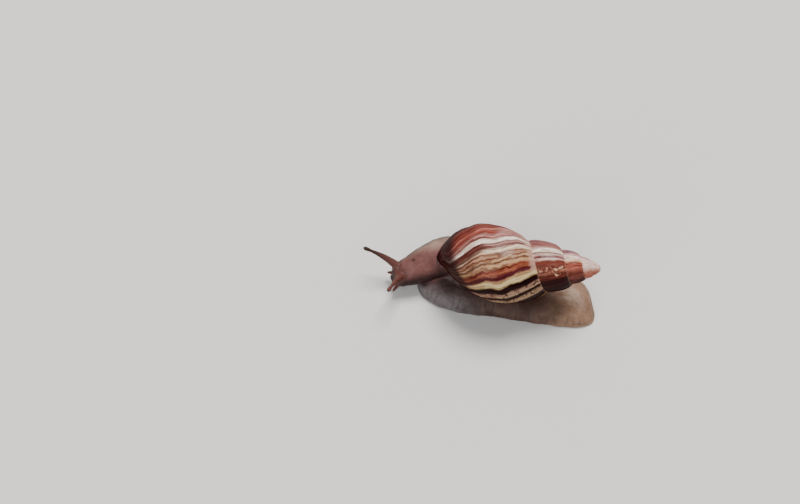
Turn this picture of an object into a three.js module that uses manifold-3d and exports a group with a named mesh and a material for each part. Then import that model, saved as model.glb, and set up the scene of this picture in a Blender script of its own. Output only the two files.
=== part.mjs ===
// A giant African land snail, crawling, at life size. Lengths are in millimetres.
// The foot lies along X with the head towards -X, +Y is the snail's right side and +Z is up.
// The shell is one solid. The flesh is parted by thin gaps into the pieces a person would name.
import * as THREE from "three";
import { mergeVertices } from "three/addons/utils/BufferGeometryUtils.js";
import Module from "manifold-3d";

const wasm = await Module();
wasm.setup();

// ---- driving sizes: the whole -------------------------------------------------------------
const GAP = 0.3; // clear space between neighbouring pieces
const BOX_CENTRE = [-1.3, 0.5]; // middle of the animal's plan, moved to the origin at the end

// ---- driving sizes: the shell --------------------------------------------------------------
const APEX = new THREE.Vector3(57.0, 4.1, 36.2); // the pointed end of the coiling axis
const PITCH = 10.5; // degrees that the axis rises towards the apex
const YAW = 5.2; // degrees that the apex swings to the snail's right
const LIP_ROLL = 12; // degrees that the lip's plane hangs below the level of the right side
const SUTURE_DROP = 38.9; // from the apex down the axis to the suture at the lip
const SUTURE_RADIUS = 14.5; // radius of that suture
const DROP_GROWTH = 1.82; // growth of the drop in one whorl
const RADIUS_GROWTH = 1.5; // growth of the radius in one whorl
const POLE_DROP = 70.5; // drop of the base's pole one whorl before the lip
const POLE_ADVANCE = 14; // how much farther the pole reaches by the lip
const CLOSING = 0.85; // how bluntly a whorl closes on the axis: 1 is a cone, less is blunter
const LIP_CLOSING = 0.52; // the same at the lip
const SHOULDER = 0.7; // how steeply a whorl swells below its suture: less is steeper
const LIP_SHOULDER = 0.9; // the same on the last whorl
const LATE_SPAN = 0.6; // the share of a whorl before the lip in which the growth changes
const EARLY_FULLNESS = 0.45; // roundness of the first whorls beside the later ones
const FULL_FROM = -1.5; // stage from which the whorls are fully round
const EARLY_UNTIL = -3.2; // stage up to which they have only the early fullness
const WHORLS = 6;
const TURN_STEPS = 28; // facets in one whorl
const WHORL_COLUMNS = 4; // facets across a whorl, from suture to suture
const BASE_COLUMNS = 9; // facets from the last suture to the base's pole
const NOTCH_DEPTH = 6.2; // how far the lip is drawn in around the pillar
const NOTCH_RADIUS = 9; // and how far from the pillar that begins
const MOUTH_DEPTH = 0.045; // depth of the hollow in the mouth of the shell, in whorls
const COLLAR_DEPTH = 0.034; // how far the mantle collar reaches into it
const COLLAR_DROOP = 0.012; // and how far it bulges out of it
const COLLAR_INSET = 0.08; // share of the mouth's width left free round the collar
const ROW_SKIP = 4; // the collar is this much coarser than the mouth

// ---- driving sizes: the flesh --------------------------------------------------------------
const FOOT_CENTRE_X = 14;
const FOOT_REAR = 47.5; // from the centre to the blunt tail end
const FOOT_FORE = 47; // from the centre to the front edge
const FOOT_HALF_WIDTH = 16;
const FRONT_SQUARENESS = 3; // power of the rounded outline in front: 2 is an ellipse
const TAIL_SQUARENESS = 4;
const DOME_SQUARENESS = 3.4; // power of the foot's cross-section
const FOOT_HEIGHT = 11.3;
const TAIL_HEIGHT = 7.5;
const TAIL_SLANT = 0.35; // the tail's right corner is this much farther forward, per mm across
const FRONT_SHIFT = -1.5; // the front of the foot lies this far to the left
const TENTACLE_BASE = 3.1; // radius where an upper tentacle leaves the head
const TENTACLE_SLIM = 0.85; // radius just under its knob
const KNOB_RADIUS = 1.15;
const EYE_RADIUS = 0.5;
const PALP_BASE = 1.3; // radius where a lower tentacle leaves the head
const PALP_TIP = 0.75;
const LIP_RADIUS = 1.9;

// Stations of the neck and head: x, y, z of the centre, half width, half height.
const NECK_STATIONS = [
  [-4, 9.5, 17, 9.5, 9],
  [-13, 9.2, 14.6, 10.2, 8.8],
  [-21, 7.6, 12.7, 10.6, 8.3],
  [-27, 4.6, 11.5, 10, 7.8],
  [-32, 1.3, 10.8, 9.1, 7.2],
  [-36.5, -1.7, 10.3, 7.9, 6.5],
  [-40, -3.9, 9.8, 7.1, 5.9],
  [-42.6, -5.5, 9.3, 6.4, 5.3],
];
const NOSE_LENGTH = 3; // rounded end beyond the last station
const HEAD_START = 0.64; // share of the neck's path where the head begins

// The trunk: a leaning oval column; x, y, z of the centre, half length along X, half width.
const TRUNK_FOOT = [-3, 1.5, 3, 25, 12.5];
const TRUNK_TOP = [-5.5, 9, 24, 14, 7.5];

// ---- driving sizes: where the pieces are parted ---------------------------------------------
const TAIL_CUT_X = 27;
const FRONT_CUT_X = -12;
const TENTACLE_CUT = 0.55; // share of an upper tentacle's length

const deg = THREE.MathUtils.degToRad;
const mix = (a, b, t) => a + (b - a) * t;
const ease = (t) => THREE.MathUtils.smoothstep(t, 0, 1);
const vec = (x, y, z) => new THREE.Vector3(x, y, z);

// ---- solids ----------------------------------------------------------------------------------

// A closed geometry from a list of triangles given as points; equal points become one vertex.
function closedGeometry(triangles) {
  const positions = triangles.flatMap((triangle) => triangle.flatMap((p) => [p.x, p.y, p.z]));
  const loose = new THREE.BufferGeometry();
  loose.setAttribute("position", new THREE.Float32BufferAttribute(positions, 3));
  const merged = mergeVertices(loose, 1e-4);
  const index = merged.index.array;
  const kept = [];
  for (let i = 0; i < index.length; i += 3) {
    const [a, b, c] = [index[i], index[i + 1], index[i + 2]];
    if (a !== b && b !== c && c !== a) kept.push(a, b, c);
  }
  merged.setIndex(kept);
  return merged;
}

// The geometry with every vertex moved outwards along its normal.
function grown(geometry, distance) {
  const copy = geometry.clone();
  copy.computeVertexNormals();
  const position = copy.attributes.position;
  const normal = copy.attributes.normal;
  for (let i = 0; i < position.count; i += 1) {
    const moved = vec().fromBufferAttribute(position, i);
    moved.addScaledVector(vec().fromBufferAttribute(normal, i), distance);
    position.setXYZ(i, moved.x, moved.y, moved.z);
  }
  copy.deleteAttribute("normal");
  return copy;
}

function solid(geometry) {
  const vertProperties = Float32Array.from(geometry.attributes.position.array);
  const triVerts = Uint32Array.from(geometry.index.array);
  return new wasm.Manifold(new wasm.Mesh({ numProp: 3, vertProperties, triVerts }));
}

function geometryOf(manifold) {
  const mesh = manifold.getMesh();
  const geometry = new THREE.BufferGeometry();
  geometry.setAttribute("position", new THREE.BufferAttribute(Float32Array.from(mesh.vertProperties), 3));
  geometry.setIndex(Array.from(mesh.triVerts));
  return geometry;
}

// The solid grown by the usual gap, to be taken out of a neighbour.
const clearance = (manifold) => solid(grown(geometryOf(manifold), GAP));

// The largest of the bodies that a cut leaves.
const mainBody = (manifold) => manifold.decompose().reduce((a, b) => (a.volume() > b.volume() ? a : b));

// A closed solid over a grid of rings, each end closed by a fan from its own middle point.
function ringSolid(rings, firstPoint, lastPoint) {
  const triangles = [];
  const count = rings[0].length;
  for (let i = 0; i < count; i += 1) {
    const next = (i + 1) % count;
    triangles.push([firstPoint, rings[0][next], rings[0][i]]);
    triangles.push([lastPoint, rings.at(-1)[i], rings.at(-1)[next]]);
    for (let k = 0; k + 1 < rings.length; k += 1) {
      const [low, high] = [rings[k], rings[k + 1]];
      triangles.push([low[i], low[next], high[next]]);
      triangles.push([low[i], high[next], high[i]]);
    }
  }
  return solid(closedGeometry(triangles));
}

// ---- the shell --------------------------------------------------------------------------------

const axisUp = vec(
  Math.cos(deg(PITCH)) * Math.cos(deg(YAW)),
  Math.cos(deg(PITCH)) * Math.sin(deg(YAW)),
  Math.sin(deg(PITCH)),
);
const axisSide = vec(0, 0, 1).cross(axisUp).normalize();
const axisTop = axisUp.clone().cross(axisSide);

// Drop of the base's pole at growth stage w; w is 0 at the lip and falls by 1 for each whorl.
function poleDrop(w) {
  if (w < -1) return POLE_DROP * DROP_GROWTH ** (w + 1);
  return POLE_DROP + POLE_ADVANCE * (w + 1);
}

// Share of the way to the pole at which the next whorl's suture lies.
function sutureShare(w) {
  const drop = SUTURE_DROP * DROP_GROWTH ** w;
  return (DROP_GROWTH - 1) * drop / (poleDrop(w) - drop);
}

// Drop along the axis and radius of the wall at stage w, x = 0 at the suture and 1 at the pole.
// The radius rises over the shoulder and closes on the axis; late stages close more bluntly, and
// the earliest whorls are nearly straight-sided.
function wallProfile(w, x) {
  const drop = SUTURE_DROP * DROP_GROWTH ** w;
  const radius = SUTURE_RADIUS * RADIUS_GROWTH ** w;
  const late = Math.max(0, 1 + w / LATE_SPAN);
  const closing = mix(CLOSING, LIP_CLOSING, late);
  const shoulder = mix(SHOULDER, LIP_SHOULDER, ease(2 * (w + 1)));
  const share = sutureShare(w);
  const belly = (RADIUS_GROWTH / (1 - share) ** closing - 1) / share ** shoulder;
  const full = (1 - x) ** closing * (1 + belly * x ** shoulder);
  const straight = 1 + (RADIUS_GROWTH - 1) * x / share;
  const fullness = mix(EARLY_FULLNESS, 1, ease((w - EARLY_UNTIL) / (FULL_FROM - EARLY_UNTIL)));
  const r = radius * mix(straight, full, fullness);
  const notch = NOTCH_DEPTH * late ** 1.2;
  const drawn = x > 0.5 ? notch * Math.max(0, 1 - r / NOTCH_RADIUS) ** 2 : 0;
  return [mix(drop, poleDrop(w), x) - drawn, r];
}

// A point from its drop, its radius and its stage, which gives the angle round the axis.
function shellPoint(drop, radius, w) {
  const angle = -deg(LIP_ROLL) - 2 * Math.PI * w;
  return APEX.clone()
    .addScaledVector(axisUp, -drop)
    .addScaledVector(axisSide, radius * Math.cos(angle))
    .addScaledVector(axisTop, radius * Math.sin(angle));
}

const wallPoint = (w, x) => shellPoint(...wallProfile(w, x), w);

// The share of the way across the wall for each column: first suture to suture, then to the pole.
function columnShare(w, column) {
  const share = sutureShare(w);
  if (column <= WHORL_COLUMNS) return share * column / WHORL_COLUMNS;
  const t = (column - WHORL_COLUMNS) / BASE_COLUMNS;
  return mix(share, 1, 1 - (1 - t) ** 1.5);
}

const ALL_COLUMNS = WHORL_COLUMNS + BASE_COLUMNS;

// A point of the mouth: column runs along the lip, row from the lip (0) to the earlier whorl.
// Sinking moves it back along the coil, where the whorl is smaller in the same shape.
function mouthPoint(column, row, sink, inset = 0) {
  const along = column / ALL_COLUMNS;
  const inner = WHORL_COLUMNS + Math.round(along * BASE_COLUMNS);
  const lip = wallProfile(0, columnShare(0, column));
  const wall = wallProfile(-1, columnShare(-1, inner));
  const poleStart = wallProfile(0, 1)[0];
  const poleRow = wallProfile(-row / TURN_STEPS, 1)[0];
  const poleShare = (poleStart - poleRow) / (poleStart - wallProfile(-1, 1)[0]);
  const evenShare = 0.5 - 0.5 * Math.cos(Math.PI * row / TURN_STEPS);
  const across = mix(evenShare, poleShare, along ** 6);
  const drop = mix(lip[0], wall[0], mix(inset, 1 - inset, across));
  const radius = mix(lip[1], wall[1], mix(inset, 1 - inset, across));
  return shellPoint(drop * DROP_GROWTH ** -sink, radius * RADIUS_GROWTH ** -sink, -sink);
}

function quad(triangles, a, b, c, d) {
  triangles.push([a, b, c], [a, c, d]);
}

function shellWall(triangles) {
  const rows = WHORLS * TURN_STEPS;
  for (let row = 0; row < rows; row += 1) {
    const w = -WHORLS + row / TURN_STEPS;
    const next = -WHORLS + (row + 1) / TURN_STEPS;
    const columns = w > -1 - 1e-9 ? ALL_COLUMNS : WHORL_COLUMNS;
    for (let column = 0; column < columns; column += 1) {
      const corner = (stage, side) => wallPoint(stage, columnShare(stage, column + side));
      quad(triangles, corner(w, 0), corner(next, 0), corner(next, 1), corner(w, 1));
    }
  }
}

function shellMouth(triangles) {
  const sink = (column, row) => {
    const edge = row * (TURN_STEPS - row) * column * (ALL_COLUMNS - column);
    const nearLip = ease((row - 2) / 2);
    return edge === 0 ? 0 : MOUTH_DEPTH * nearLip * ease((TURN_STEPS - row) / 2);
  };
  const point = (column, row) => mouthPoint(column, row, sink(column, row));
  for (let column = 0; column < ALL_COLUMNS; column += 1) {
    for (let row = 0; row < TURN_STEPS; row += 1) {
      quad(
        triangles,
        point(column, row),
        point(column, row + 1),
        point(column + 1, row + 1),
        point(column + 1, row),
      );
    }
  }
}

// The first whorl's open edge is closed by a fan, the blunt tip of the shell.
function shellTip(triangles) {
  const tip = APEX.clone().addScaledVector(axisUp, 0.2);
  const edge = [];
  for (let step = 0; step <= TURN_STEPS; step += 1) edge.push(wallPoint(-WHORLS + step / TURN_STEPS, 0));
  for (let column = WHORL_COLUMNS - 1; column >= 0; column -= 1) {
    edge.push(wallPoint(-WHORLS, columnShare(-WHORLS, column)));
  }
  for (let i = 0; i + 1 < edge.length; i += 1) triangles.push([tip, edge[i + 1], edge[i]]);
}

function makeShell() {
  const triangles = [];
  shellWall(triangles);
  shellMouth(triangles);
  shellTip(triangles);
  return solid(closedGeometry(triangles));
}

// The mantle collar fills the mouth: a slab between two copies of the mouth, set in from the lip.
function makeCollar() {
  const triangles = [];
  const columns = ALL_COLUMNS - 3;
  const point = (column, row, deep) => {
    const swell = Math.sin(Math.PI * row / TURN_STEPS) * Math.sin(Math.PI * column / columns);
    const bulge = mix(0, -COLLAR_DROOP, Math.sqrt(Math.max(0, swell)));
    return mouthPoint(column + 2, row, deep ? COLLAR_DEPTH : bulge, COLLAR_INSET);
  };
  const rim = [];
  for (let row = 0; row < TURN_STEPS; row += ROW_SKIP) rim.push([0, row]);
  for (let column = 0; column < columns; column += 1) rim.push([column, TURN_STEPS]);
  for (let row = TURN_STEPS; row > 0; row -= ROW_SKIP) rim.push([columns, row]);
  for (let column = columns; column > 0; column -= 1) rim.push([column, 0]);
  const corners = [[0, 0], [0, ROW_SKIP], [1, ROW_SKIP], [1, 0]];
  for (let column = 0; column < columns; column += 1) {
    for (let row = 0; row < TURN_STEPS; row += ROW_SKIP) {
      const at = (deep) => corners.map(([c, r]) => point(column + c, row + r, deep));
      quad(triangles, ...at(false));
      quad(triangles, ...at(true).reverse());
    }
  }
  rim.forEach(([column, row], i) => {
    const [nextColumn, nextRow] = rim[(i + 1) % rim.length];
    quad(
      triangles,
      point(column, row, true),
      point(nextColumn, nextRow, true),
      point(nextColumn, nextRow, false),
      point(column, row, false),
    );
  });
  return solid(closedGeometry(triangles));
}

// ---- the foot ----------------------------------------------------------------------------------

// Outline of the sole at an angle: a rounded oblong, blunter behind, slanted at the tail.
function solePoint(angle) {
  const [c, s] = [Math.cos(angle), Math.sin(angle)];
  const power = mix(FRONT_SQUARENESS, TAIL_SQUARENESS, ease(c + 0.5));
  const reach = c > 0 ? FOOT_REAR : FOOT_FORE;
  const x = reach * Math.sign(c) * Math.abs(c) ** (2 / power);
  const y = FOOT_HALF_WIDTH * Math.sign(s) * Math.abs(s) ** (2 / power);
  const slant = TAIL_SLANT * (y + 11) * ease((x - 8) / 34);
  return vec(FOOT_CENTRE_X + x - slant, y + FRONT_SHIFT * ease(-x / 30), 0);
}

const footHeight = (x) => mix(FOOT_HEIGHT, TAIL_HEIGHT, ease((x - 8) / 34));

// The foot: rings shrink from the sole's edge to a line along its middle and rise into a dome.
function makeFoot() {
  const steps = 48;
  const levels = [1, 0.985, 0.95, 0.88, 0.76, 0.6, 0.4, 0.2];
  const ring = (share) => Array.from({ length: steps }, (_, i) => {
    const edge = solePoint(2 * Math.PI * i / steps);
    const middle = vec(mix(edge.x, FOOT_CENTRE_X, 0.3), 0, 0);
    const point = middle.lerp(edge, share);
    point.z = footHeight(point.x) * Math.sqrt(1 - share ** DOME_SQUARENESS);
    return point;
  });
  const sole = ring(1);
  const top = vec(FOOT_CENTRE_X, 0, FOOT_HEIGHT);
  return ringSolid([sole, ...levels.slice(1).map(ring)], vec(FOOT_CENTRE_X, 0, 0), top);
}

// ---- trunk, neck and head -----------------------------------------------------------------------

// An oval ring round a centre, across the horizontal direction and the one at right angles to it.
function ovalRing(centre, forward, halfWidth, halfHeight, steps) {
  const across = vec(0, 0, 1).cross(forward).normalize();
  const upward = forward.clone().cross(across).normalize();
  return Array.from({ length: steps }, (_, i) => {
    const angle = 2 * Math.PI * i / steps;
    return centre.clone()
      .addScaledVector(across, halfWidth * Math.cos(angle))
      .addScaledVector(upward, halfHeight * Math.sin(angle));
  });
}

// The trunk rises from the foot's back into the mouth of the shell.
function makeTrunk() {
  const steps = 24;
  const size = (index, t) => mix(TRUNK_FOOT[index], TRUNK_TOP[index], t);
  const centre = (t) => vec(size(0, t), size(1, t), size(2, t));
  const ring = (t) => Array.from({ length: steps }, (_, i) => {
    const angle = 2 * Math.PI * i / steps;
    const outward = vec(size(3, ease(t)) * Math.cos(angle), size(4, ease(t)) * Math.sin(angle), 0);
    return centre(t).add(outward);
  });
  return ringSolid([0, 0.25, 0.5, 0.75, 1].map(ring), centre(0), centre(1));
}

const neckPath = new THREE.CatmullRomCurve3(NECK_STATIONS.map(([x, y, z]) => vec(x, y, z)));

// Half width (index 3) or half height (index 4) at a share of the neck's path.
function neckSize(t, index) {
  const place = t * (NECK_STATIONS.length - 1);
  const first = Math.min(Math.floor(place), NECK_STATIONS.length - 2);
  return mix(NECK_STATIONS[first][index], NECK_STATIONS[first + 1][index], place - first);
}

function neckRing(t, shrink, advance, steps) {
  const forward = neckPath.getTangent(t);
  const centre = neckPath.getPoint(t).addScaledVector(forward, advance);
  return ovalRing(centre, forward, shrink * neckSize(t, 3), shrink * neckSize(t, 4), steps);
}

function makeNeckAndHead() {
  const steps = 24;
  const lengths = 11;
  const rings = [];
  for (let i = 0; i <= lengths; i += 1) rings.push(neckRing(i / lengths, 1, 0, steps));
  for (const turn of [25, 45, 65, 80]) {
    rings.push(neckRing(1, Math.cos(deg(turn)), NOSE_LENGTH * Math.sin(deg(turn)), steps));
  }
  const nose = neckPath.getPoint(1).addScaledVector(neckPath.getTangent(1), NOSE_LENGTH);
  return ringSolid(rings, neckPath.getPoint(0), nose);
}

// ---- tentacles, eyes and lips ----------------------------------------------------------------------

// A tapering round rod along a curve with a rounded end; radius is a function of the path's share.
function rod(curve, radius, segments, sides) {
  const rings = [];
  for (let i = 0; i <= segments; i += 1) {
    const t = i / segments;
    rings.push(ovalRing(curve.getPoint(t), curve.getTangent(t), radius(t), radius(t), sides));
  }
  const end = curve.getPoint(1);
  const forward = curve.getTangent(1);
  for (const turn of [40, 70]) {
    const centre = end.clone().addScaledVector(forward, radius(1) * Math.sin(deg(turn)));
    const size = radius(1) * Math.cos(deg(turn));
    rings.push(ovalRing(centre, forward, size, size, sides));
  }
  return ringSolid(rings, curve.getPoint(0), end.addScaledVector(forward, radius(1)));
}

// Radius of an upper tentacle: a cone that slims quickly and ends in a small knob.
function tentacleRadius(t) {
  const cone = mix(TENTACLE_BASE, TENTACLE_SLIM, Math.min(1, t / 0.85) ** 0.7);
  return cone + (KNOB_RADIUS - TENTACLE_SLIM) * ease((t - 0.84) / 0.16);
}

const UPPER_TENTACLES = {
  right: [
    vec(-41, -3.2, 10.8),
    vec(-45.9, -1.1, 13.5),
    vec(-51.3, 0.3, 16.5),
    vec(-56, 0.9, 19),
    vec(-61, 1.3, 21.2),
  ],
  left: [
    vec(-40.3, -4.6, 10.8),
    vec(-41.4, -8, 14),
    vec(-43.2, -12.8, 18),
    vec(-45.3, -19.4, 22),
  ],
};
const LOWER_TENTACLES = {
  right: [vec(-43.4, -3.1, 7.4), vec(-46.6, -3.1, 6.2), vec(-48.6, -3, 5.3)],
  left: [vec(-41, -7.6, 7.4), vec(-43, -10.5, 6.2), vec(-44.2, -12.5, 5.3)],
};
const LIPS = {
  right: vec(-45.3, -5.7, 6.9),
  left: vec(-43.9, -8, 6.9),
};

function sphere(centre, radius, widthSegments, heightSegments, stretch = 1) {
  const ball = new THREE.SphereGeometry(radius, widthSegments, heightSegments);
  ball.scale(1, 1, stretch);
  ball.translate(centre.x, centre.y, centre.z);
  ball.deleteAttribute("normal");
  ball.deleteAttribute("uv");
  return solid(mergeVertices(ball));
}

// ---- parting ------------------------------------------------------------------------------------------

// The part of a solid on one side of a plane, half a gap away from it.
function beyond(manifold, normal, point) {
  const away = normal.clone().normalize();
  return mainBody(manifold.trimByPlane([away.x, away.y, away.z], away.dot(point) + GAP / 2));
}

function paint(name, manifold, color, roughness) {
  const material = new THREE.MeshStandardMaterial({ color, roughness, metalness: 0 });
  const mesh = new THREE.Mesh(geometryOf(manifold), material);
  mesh.name = name;
  return mesh;
}

// ---- the animal -----------------------------------------------------------------------------------------

const SHELL_BROWN = 0x8a4a2c;
const BODY_BROWN = 0x6f3f33;
const FOOT_GREY = 0x6d625c;
const TAIL_TAN = 0x8a6b52;
const COLLAR_TAN = 0xa58a6a;
const EYE_BLACK = 0x14100f;

const animal = new THREE.Group();
animal.position.set(-BOX_CENTRE[0], -BOX_CENTRE[1], 0);

const shell = makeShell();
const shellClear = clearance(shell);
animal.add(paint("shell", shell, SHELL_BROWN, 0.3));

const collar = mainBody(makeCollar().subtract(shellClear));
animal.add(paint("mantle_collar", collar, COLLAR_TAN, 0.45));

const foot = makeFoot();
const footClear = clearance(foot);
const footBody = foot.subtract(shellClear);
const towardsTail = vec(1, 0, 0);
const towardsHead = vec(-1, 0, 0);
const tailCut = vec(TAIL_CUT_X, 0, 0);
const frontCut = vec(FRONT_CUT_X, 0, 0);
animal.add(paint("tail", beyond(footBody, towardsTail, tailCut), TAIL_TAN, 0.5));
const middle = beyond(beyond(footBody, towardsHead, tailCut), towardsTail, frontCut);
animal.add(paint("foot_middle", middle, FOOT_GREY, 0.5));
animal.add(paint("foot_front", beyond(footBody, towardsHead, frontCut), FOOT_GREY, 0.5));

const neckAndHead = makeNeckAndHead();
const held = shellClear.add(clearance(collar)).add(footClear);
const neckBody = neckAndHead.subtract(held);
const headCut = neckPath.getPoint(HEAD_START);
const headWay = neckPath.getTangent(HEAD_START);
const head = beyond(neckBody, headWay, headCut);
animal.add(paint("head", head, BODY_BROWN, 0.4));
animal.add(paint("neck", beyond(neckBody, headWay.clone().negate(), headCut), BODY_BROWN, 0.4));

const trunk = mainBody(makeTrunk().subtract(held).subtract(clearance(neckAndHead)));
animal.add(paint("trunk", trunk, BODY_BROWN, 0.45));

const headClear = clearance(neckAndHead);
const lipsMiddle = LIPS.right.clone().add(LIPS.left).multiplyScalar(0.5);
for (const side of ["left", "right"]) {
  const curve = new THREE.CatmullRomCurve3(UPPER_TENTACLES[side]);
  const tip = curve.getPoint(1).addScaledVector(curve.getTangent(1), KNOB_RADIUS * 0.75);
  const socket = sphere(tip, EYE_RADIUS + GAP, 10, 6);
  const feeler = rod(curve, tentacleRadius, 12, 12).subtract(headClear).subtract(socket);
  const cut = curve.getPoint(TENTACLE_CUT);
  const way = curve.getTangent(TENTACLE_CUT);
  const lower = beyond(feeler, way.clone().negate(), cut);
  animal.add(paint(`tentacle_upper_${side}_base`, lower, BODY_BROWN, 0.4));
  animal.add(paint(`tentacle_upper_${side}_tip`, beyond(feeler, way, cut), BODY_BROWN, 0.4));
  animal.add(paint(`eye_${side}`, sphere(tip, EYE_RADIUS, 10, 6), EYE_BLACK, 0.15));

  const outward = LIPS[side].clone().sub(lipsMiddle);
  const lip = beyond(sphere(LIPS[side], LIP_RADIUS, 12, 8, 1.25).subtract(headClear), outward, lipsMiddle);
  animal.add(paint(`lip_${side}`, lip, BODY_BROWN, 0.4));
  const short = new THREE.CatmullRomCurve3(LOWER_TENTACLES[side]);
  const palp = rod(short, (t) => mix(PALP_BASE, PALP_TIP, t), 6, 10);
  const clearPalp = mainBody(palp.subtract(headClear).subtract(clearance(lip)));
  animal.add(paint(`tentacle_lower_${side}`, clearPalp, BODY_BROWN, 0.4));
}

export default animal;
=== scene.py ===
# %% [markdown]
# # A giant African land snail
# The real animal is one soft body that carries a hard, coiled shell with flame-like stripes. The
# packed part is a plain version of it in solids. It is loaded as a fixed frame, and finer pieces
# are made over it: a shell, one continuous skin and two eyes. Each could be sculpted by hand.
# Formulas are used instead, because a shell grows by a rule, and because numbers are easy to
# change and give the same model each time.

import bmesh
import bpy
import numpy as np
from mathutils import Euler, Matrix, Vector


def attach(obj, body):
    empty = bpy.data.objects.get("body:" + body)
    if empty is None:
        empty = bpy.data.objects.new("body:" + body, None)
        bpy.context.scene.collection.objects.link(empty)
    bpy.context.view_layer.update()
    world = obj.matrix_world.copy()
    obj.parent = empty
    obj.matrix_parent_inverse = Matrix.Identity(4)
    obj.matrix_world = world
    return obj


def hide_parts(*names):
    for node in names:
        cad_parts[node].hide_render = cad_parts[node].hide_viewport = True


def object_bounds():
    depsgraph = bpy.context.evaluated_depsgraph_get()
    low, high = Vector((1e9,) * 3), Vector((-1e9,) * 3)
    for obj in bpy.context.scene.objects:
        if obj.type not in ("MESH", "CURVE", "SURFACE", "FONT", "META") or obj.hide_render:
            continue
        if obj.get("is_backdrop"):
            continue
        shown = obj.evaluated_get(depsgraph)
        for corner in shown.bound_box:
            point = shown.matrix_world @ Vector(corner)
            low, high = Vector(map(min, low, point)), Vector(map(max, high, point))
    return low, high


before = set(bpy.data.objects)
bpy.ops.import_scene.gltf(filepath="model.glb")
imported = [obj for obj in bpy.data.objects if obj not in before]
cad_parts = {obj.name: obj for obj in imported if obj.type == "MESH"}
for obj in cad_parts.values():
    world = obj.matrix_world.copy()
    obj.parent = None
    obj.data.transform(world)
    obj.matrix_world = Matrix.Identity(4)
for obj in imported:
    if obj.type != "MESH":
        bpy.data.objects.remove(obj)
cad_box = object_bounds()
MM = 0.001
BOX_SHIFT = np.array([1.3, -0.5, 0.0])  # from the formulas' own frame to the row frame, in mm
print("frame:", len(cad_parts), "nodes, box", [round(v * 1000, 1) for v in cad_box[1] - cad_box[0]])

# %% [markdown]
# ## Camera
# The camera stands above the snail's left side, turned a little towards its head, about half a
# metre away, as a person who bends down to the animal would. A camera can be aimed with a Track To
# constraint. Here its place, its two angles and its lens are typed, because together they decide
# the framing and how steeply the shell is seen.

# %%
# The camera
CAMERA_PLACE = np.array([-3.4, -217.5, 510.0])
CAMERA_PITCH = 65.5  # degrees below the horizon
CAMERA_TURN = 10.0  # degrees towards the head
FOCAL_LENGTH, SENSOR_WIDTH = 47.7, 36  # mm

camera = bpy.data.objects.new("camera", bpy.data.cameras.new("camera"))
bpy.context.scene.collection.objects.link(camera)
camera.location = CAMERA_PLACE * MM
camera.rotation_euler = Euler(np.radians([90 - CAMERA_PITCH, 0, CAMERA_TURN]))
camera.data.lens = FOCAL_LENGTH
camera.data.sensor_width = SENSOR_WIDTH
camera.data.clip_start = 0.01
bpy.context.scene.camera = camera
print("camera at", [round(v, 3) for v in camera.location])

# %% [markdown]
# ## Small helpers
# Every surface here is a grid of points, which can be bent into a coil, a tube or a dome. The
# points could be placed one by one in a loop, but numpy works out whole arrays at once, which is
# shorter to read and much faster. A few curves are used everywhere: mix blends evenly, ease starts
# and stops gently so that no crease shows where a blend ends, and bell makes a soft ridge.


# %%
# Helpers for numbers
def mix(a, b, t):
    """a at t = 0 and b at t = 1, in a straight line between."""
    return a + (b - a) * t


def ease(t):
    """0 below t = 0 and 1 above t = 1, with the smooth step 3t^2 - 2t^3 between."""
    t = np.clip(t, 0, 1)
    return t * t * (3 - 2 * t)


def bell(value, centre, width):
    """1 at the centre, falling off on both sides as exp(-((value - centre) / width)^2)."""
    return np.exp(-(((value - centre) / width) ** 2))


def between(value, low, high, soft):
    """1 well between low and high, easing to 0 over soft inside each."""
    return ease((value - low) / soft) * ease((high - value) / soft)


def unit(vectors):
    """The vectors divided by their lengths."""
    return vectors / np.maximum(np.linalg.norm(vectors, axis=-1, keepdims=True), 1e-9)


print("ease at a quarter", ease(0.25), "and bell one width off", bell(1.0, 0, 1).round(3))


# %%
# Helpers for meshes
def grid_faces(rows, columns, start=0):
    """The quads of a grid of rows x columns points, numbered from start."""
    first = np.arange(rows - 1)[:, None] * columns + np.arange(columns - 1)[None] + start
    quads = np.stack([first, first + columns, first + columns + 1, first + 1], axis=-1)
    return quads.reshape(-1, 4)


def mesh_from(name, points, faces):
    """A mesh from points in mm in the formulas' frame, and faces as lists of point numbers."""
    mesh = bpy.data.meshes.new(name)
    mesh.from_pydata((points + BOX_SHIFT) * MM, [], faces)
    mesh.update()
    return mesh


def weld(mesh, distance):
    """Merges points closer than distance, in metres, and turns the faces outwards."""
    work = bmesh.new()
    work.from_mesh(mesh)
    bmesh.ops.remove_doubles(work, verts=work.verts, dist=distance)
    bmesh.ops.recalc_face_normals(work, faces=work.faces)
    work.to_mesh(mesh)
    work.free()


def keep(mesh, name, domain, values):
    """Stores one number, or one row of three, for each item of the domain, for materials to read."""
    kind, field = ("FLOAT", "value") if values.ndim == 1 else ("FLOAT_VECTOR", "vector")
    store = mesh.attributes.new(name, kind, domain).data
    store.foreach_set(field, values.astype(np.float32).ravel())


def show(mesh):
    """An object of the mesh that rides on the root body."""
    piece = bpy.data.objects.new(mesh.name, mesh)
    bpy.context.scene.collection.objects.link(piece)
    mesh.shade_smooth()
    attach(piece, "root")
    return piece


print("a grid of 3 by 4 points has", len(grid_faces(3, 4)), "faces")

# %% [markdown]
# ## Noise
# Living surfaces are never quite even. The Displace modifier could add a noise texture, but noise
# in numpy can be mixed into a shape's own formulas before its mesh is made. Soft waves give lumps,
# and cells give the net of fine creases between the grains of a snail's skin. Both are seeded, so
# each run gives the same animal.


# %%
# Noise for shapes
CELL_PRIMES = np.array([73856093, 19349663, 83492791])  # large primes mix up a cube's place
SEED_PRIME, SCATTER = 7919, 43758.5


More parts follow.
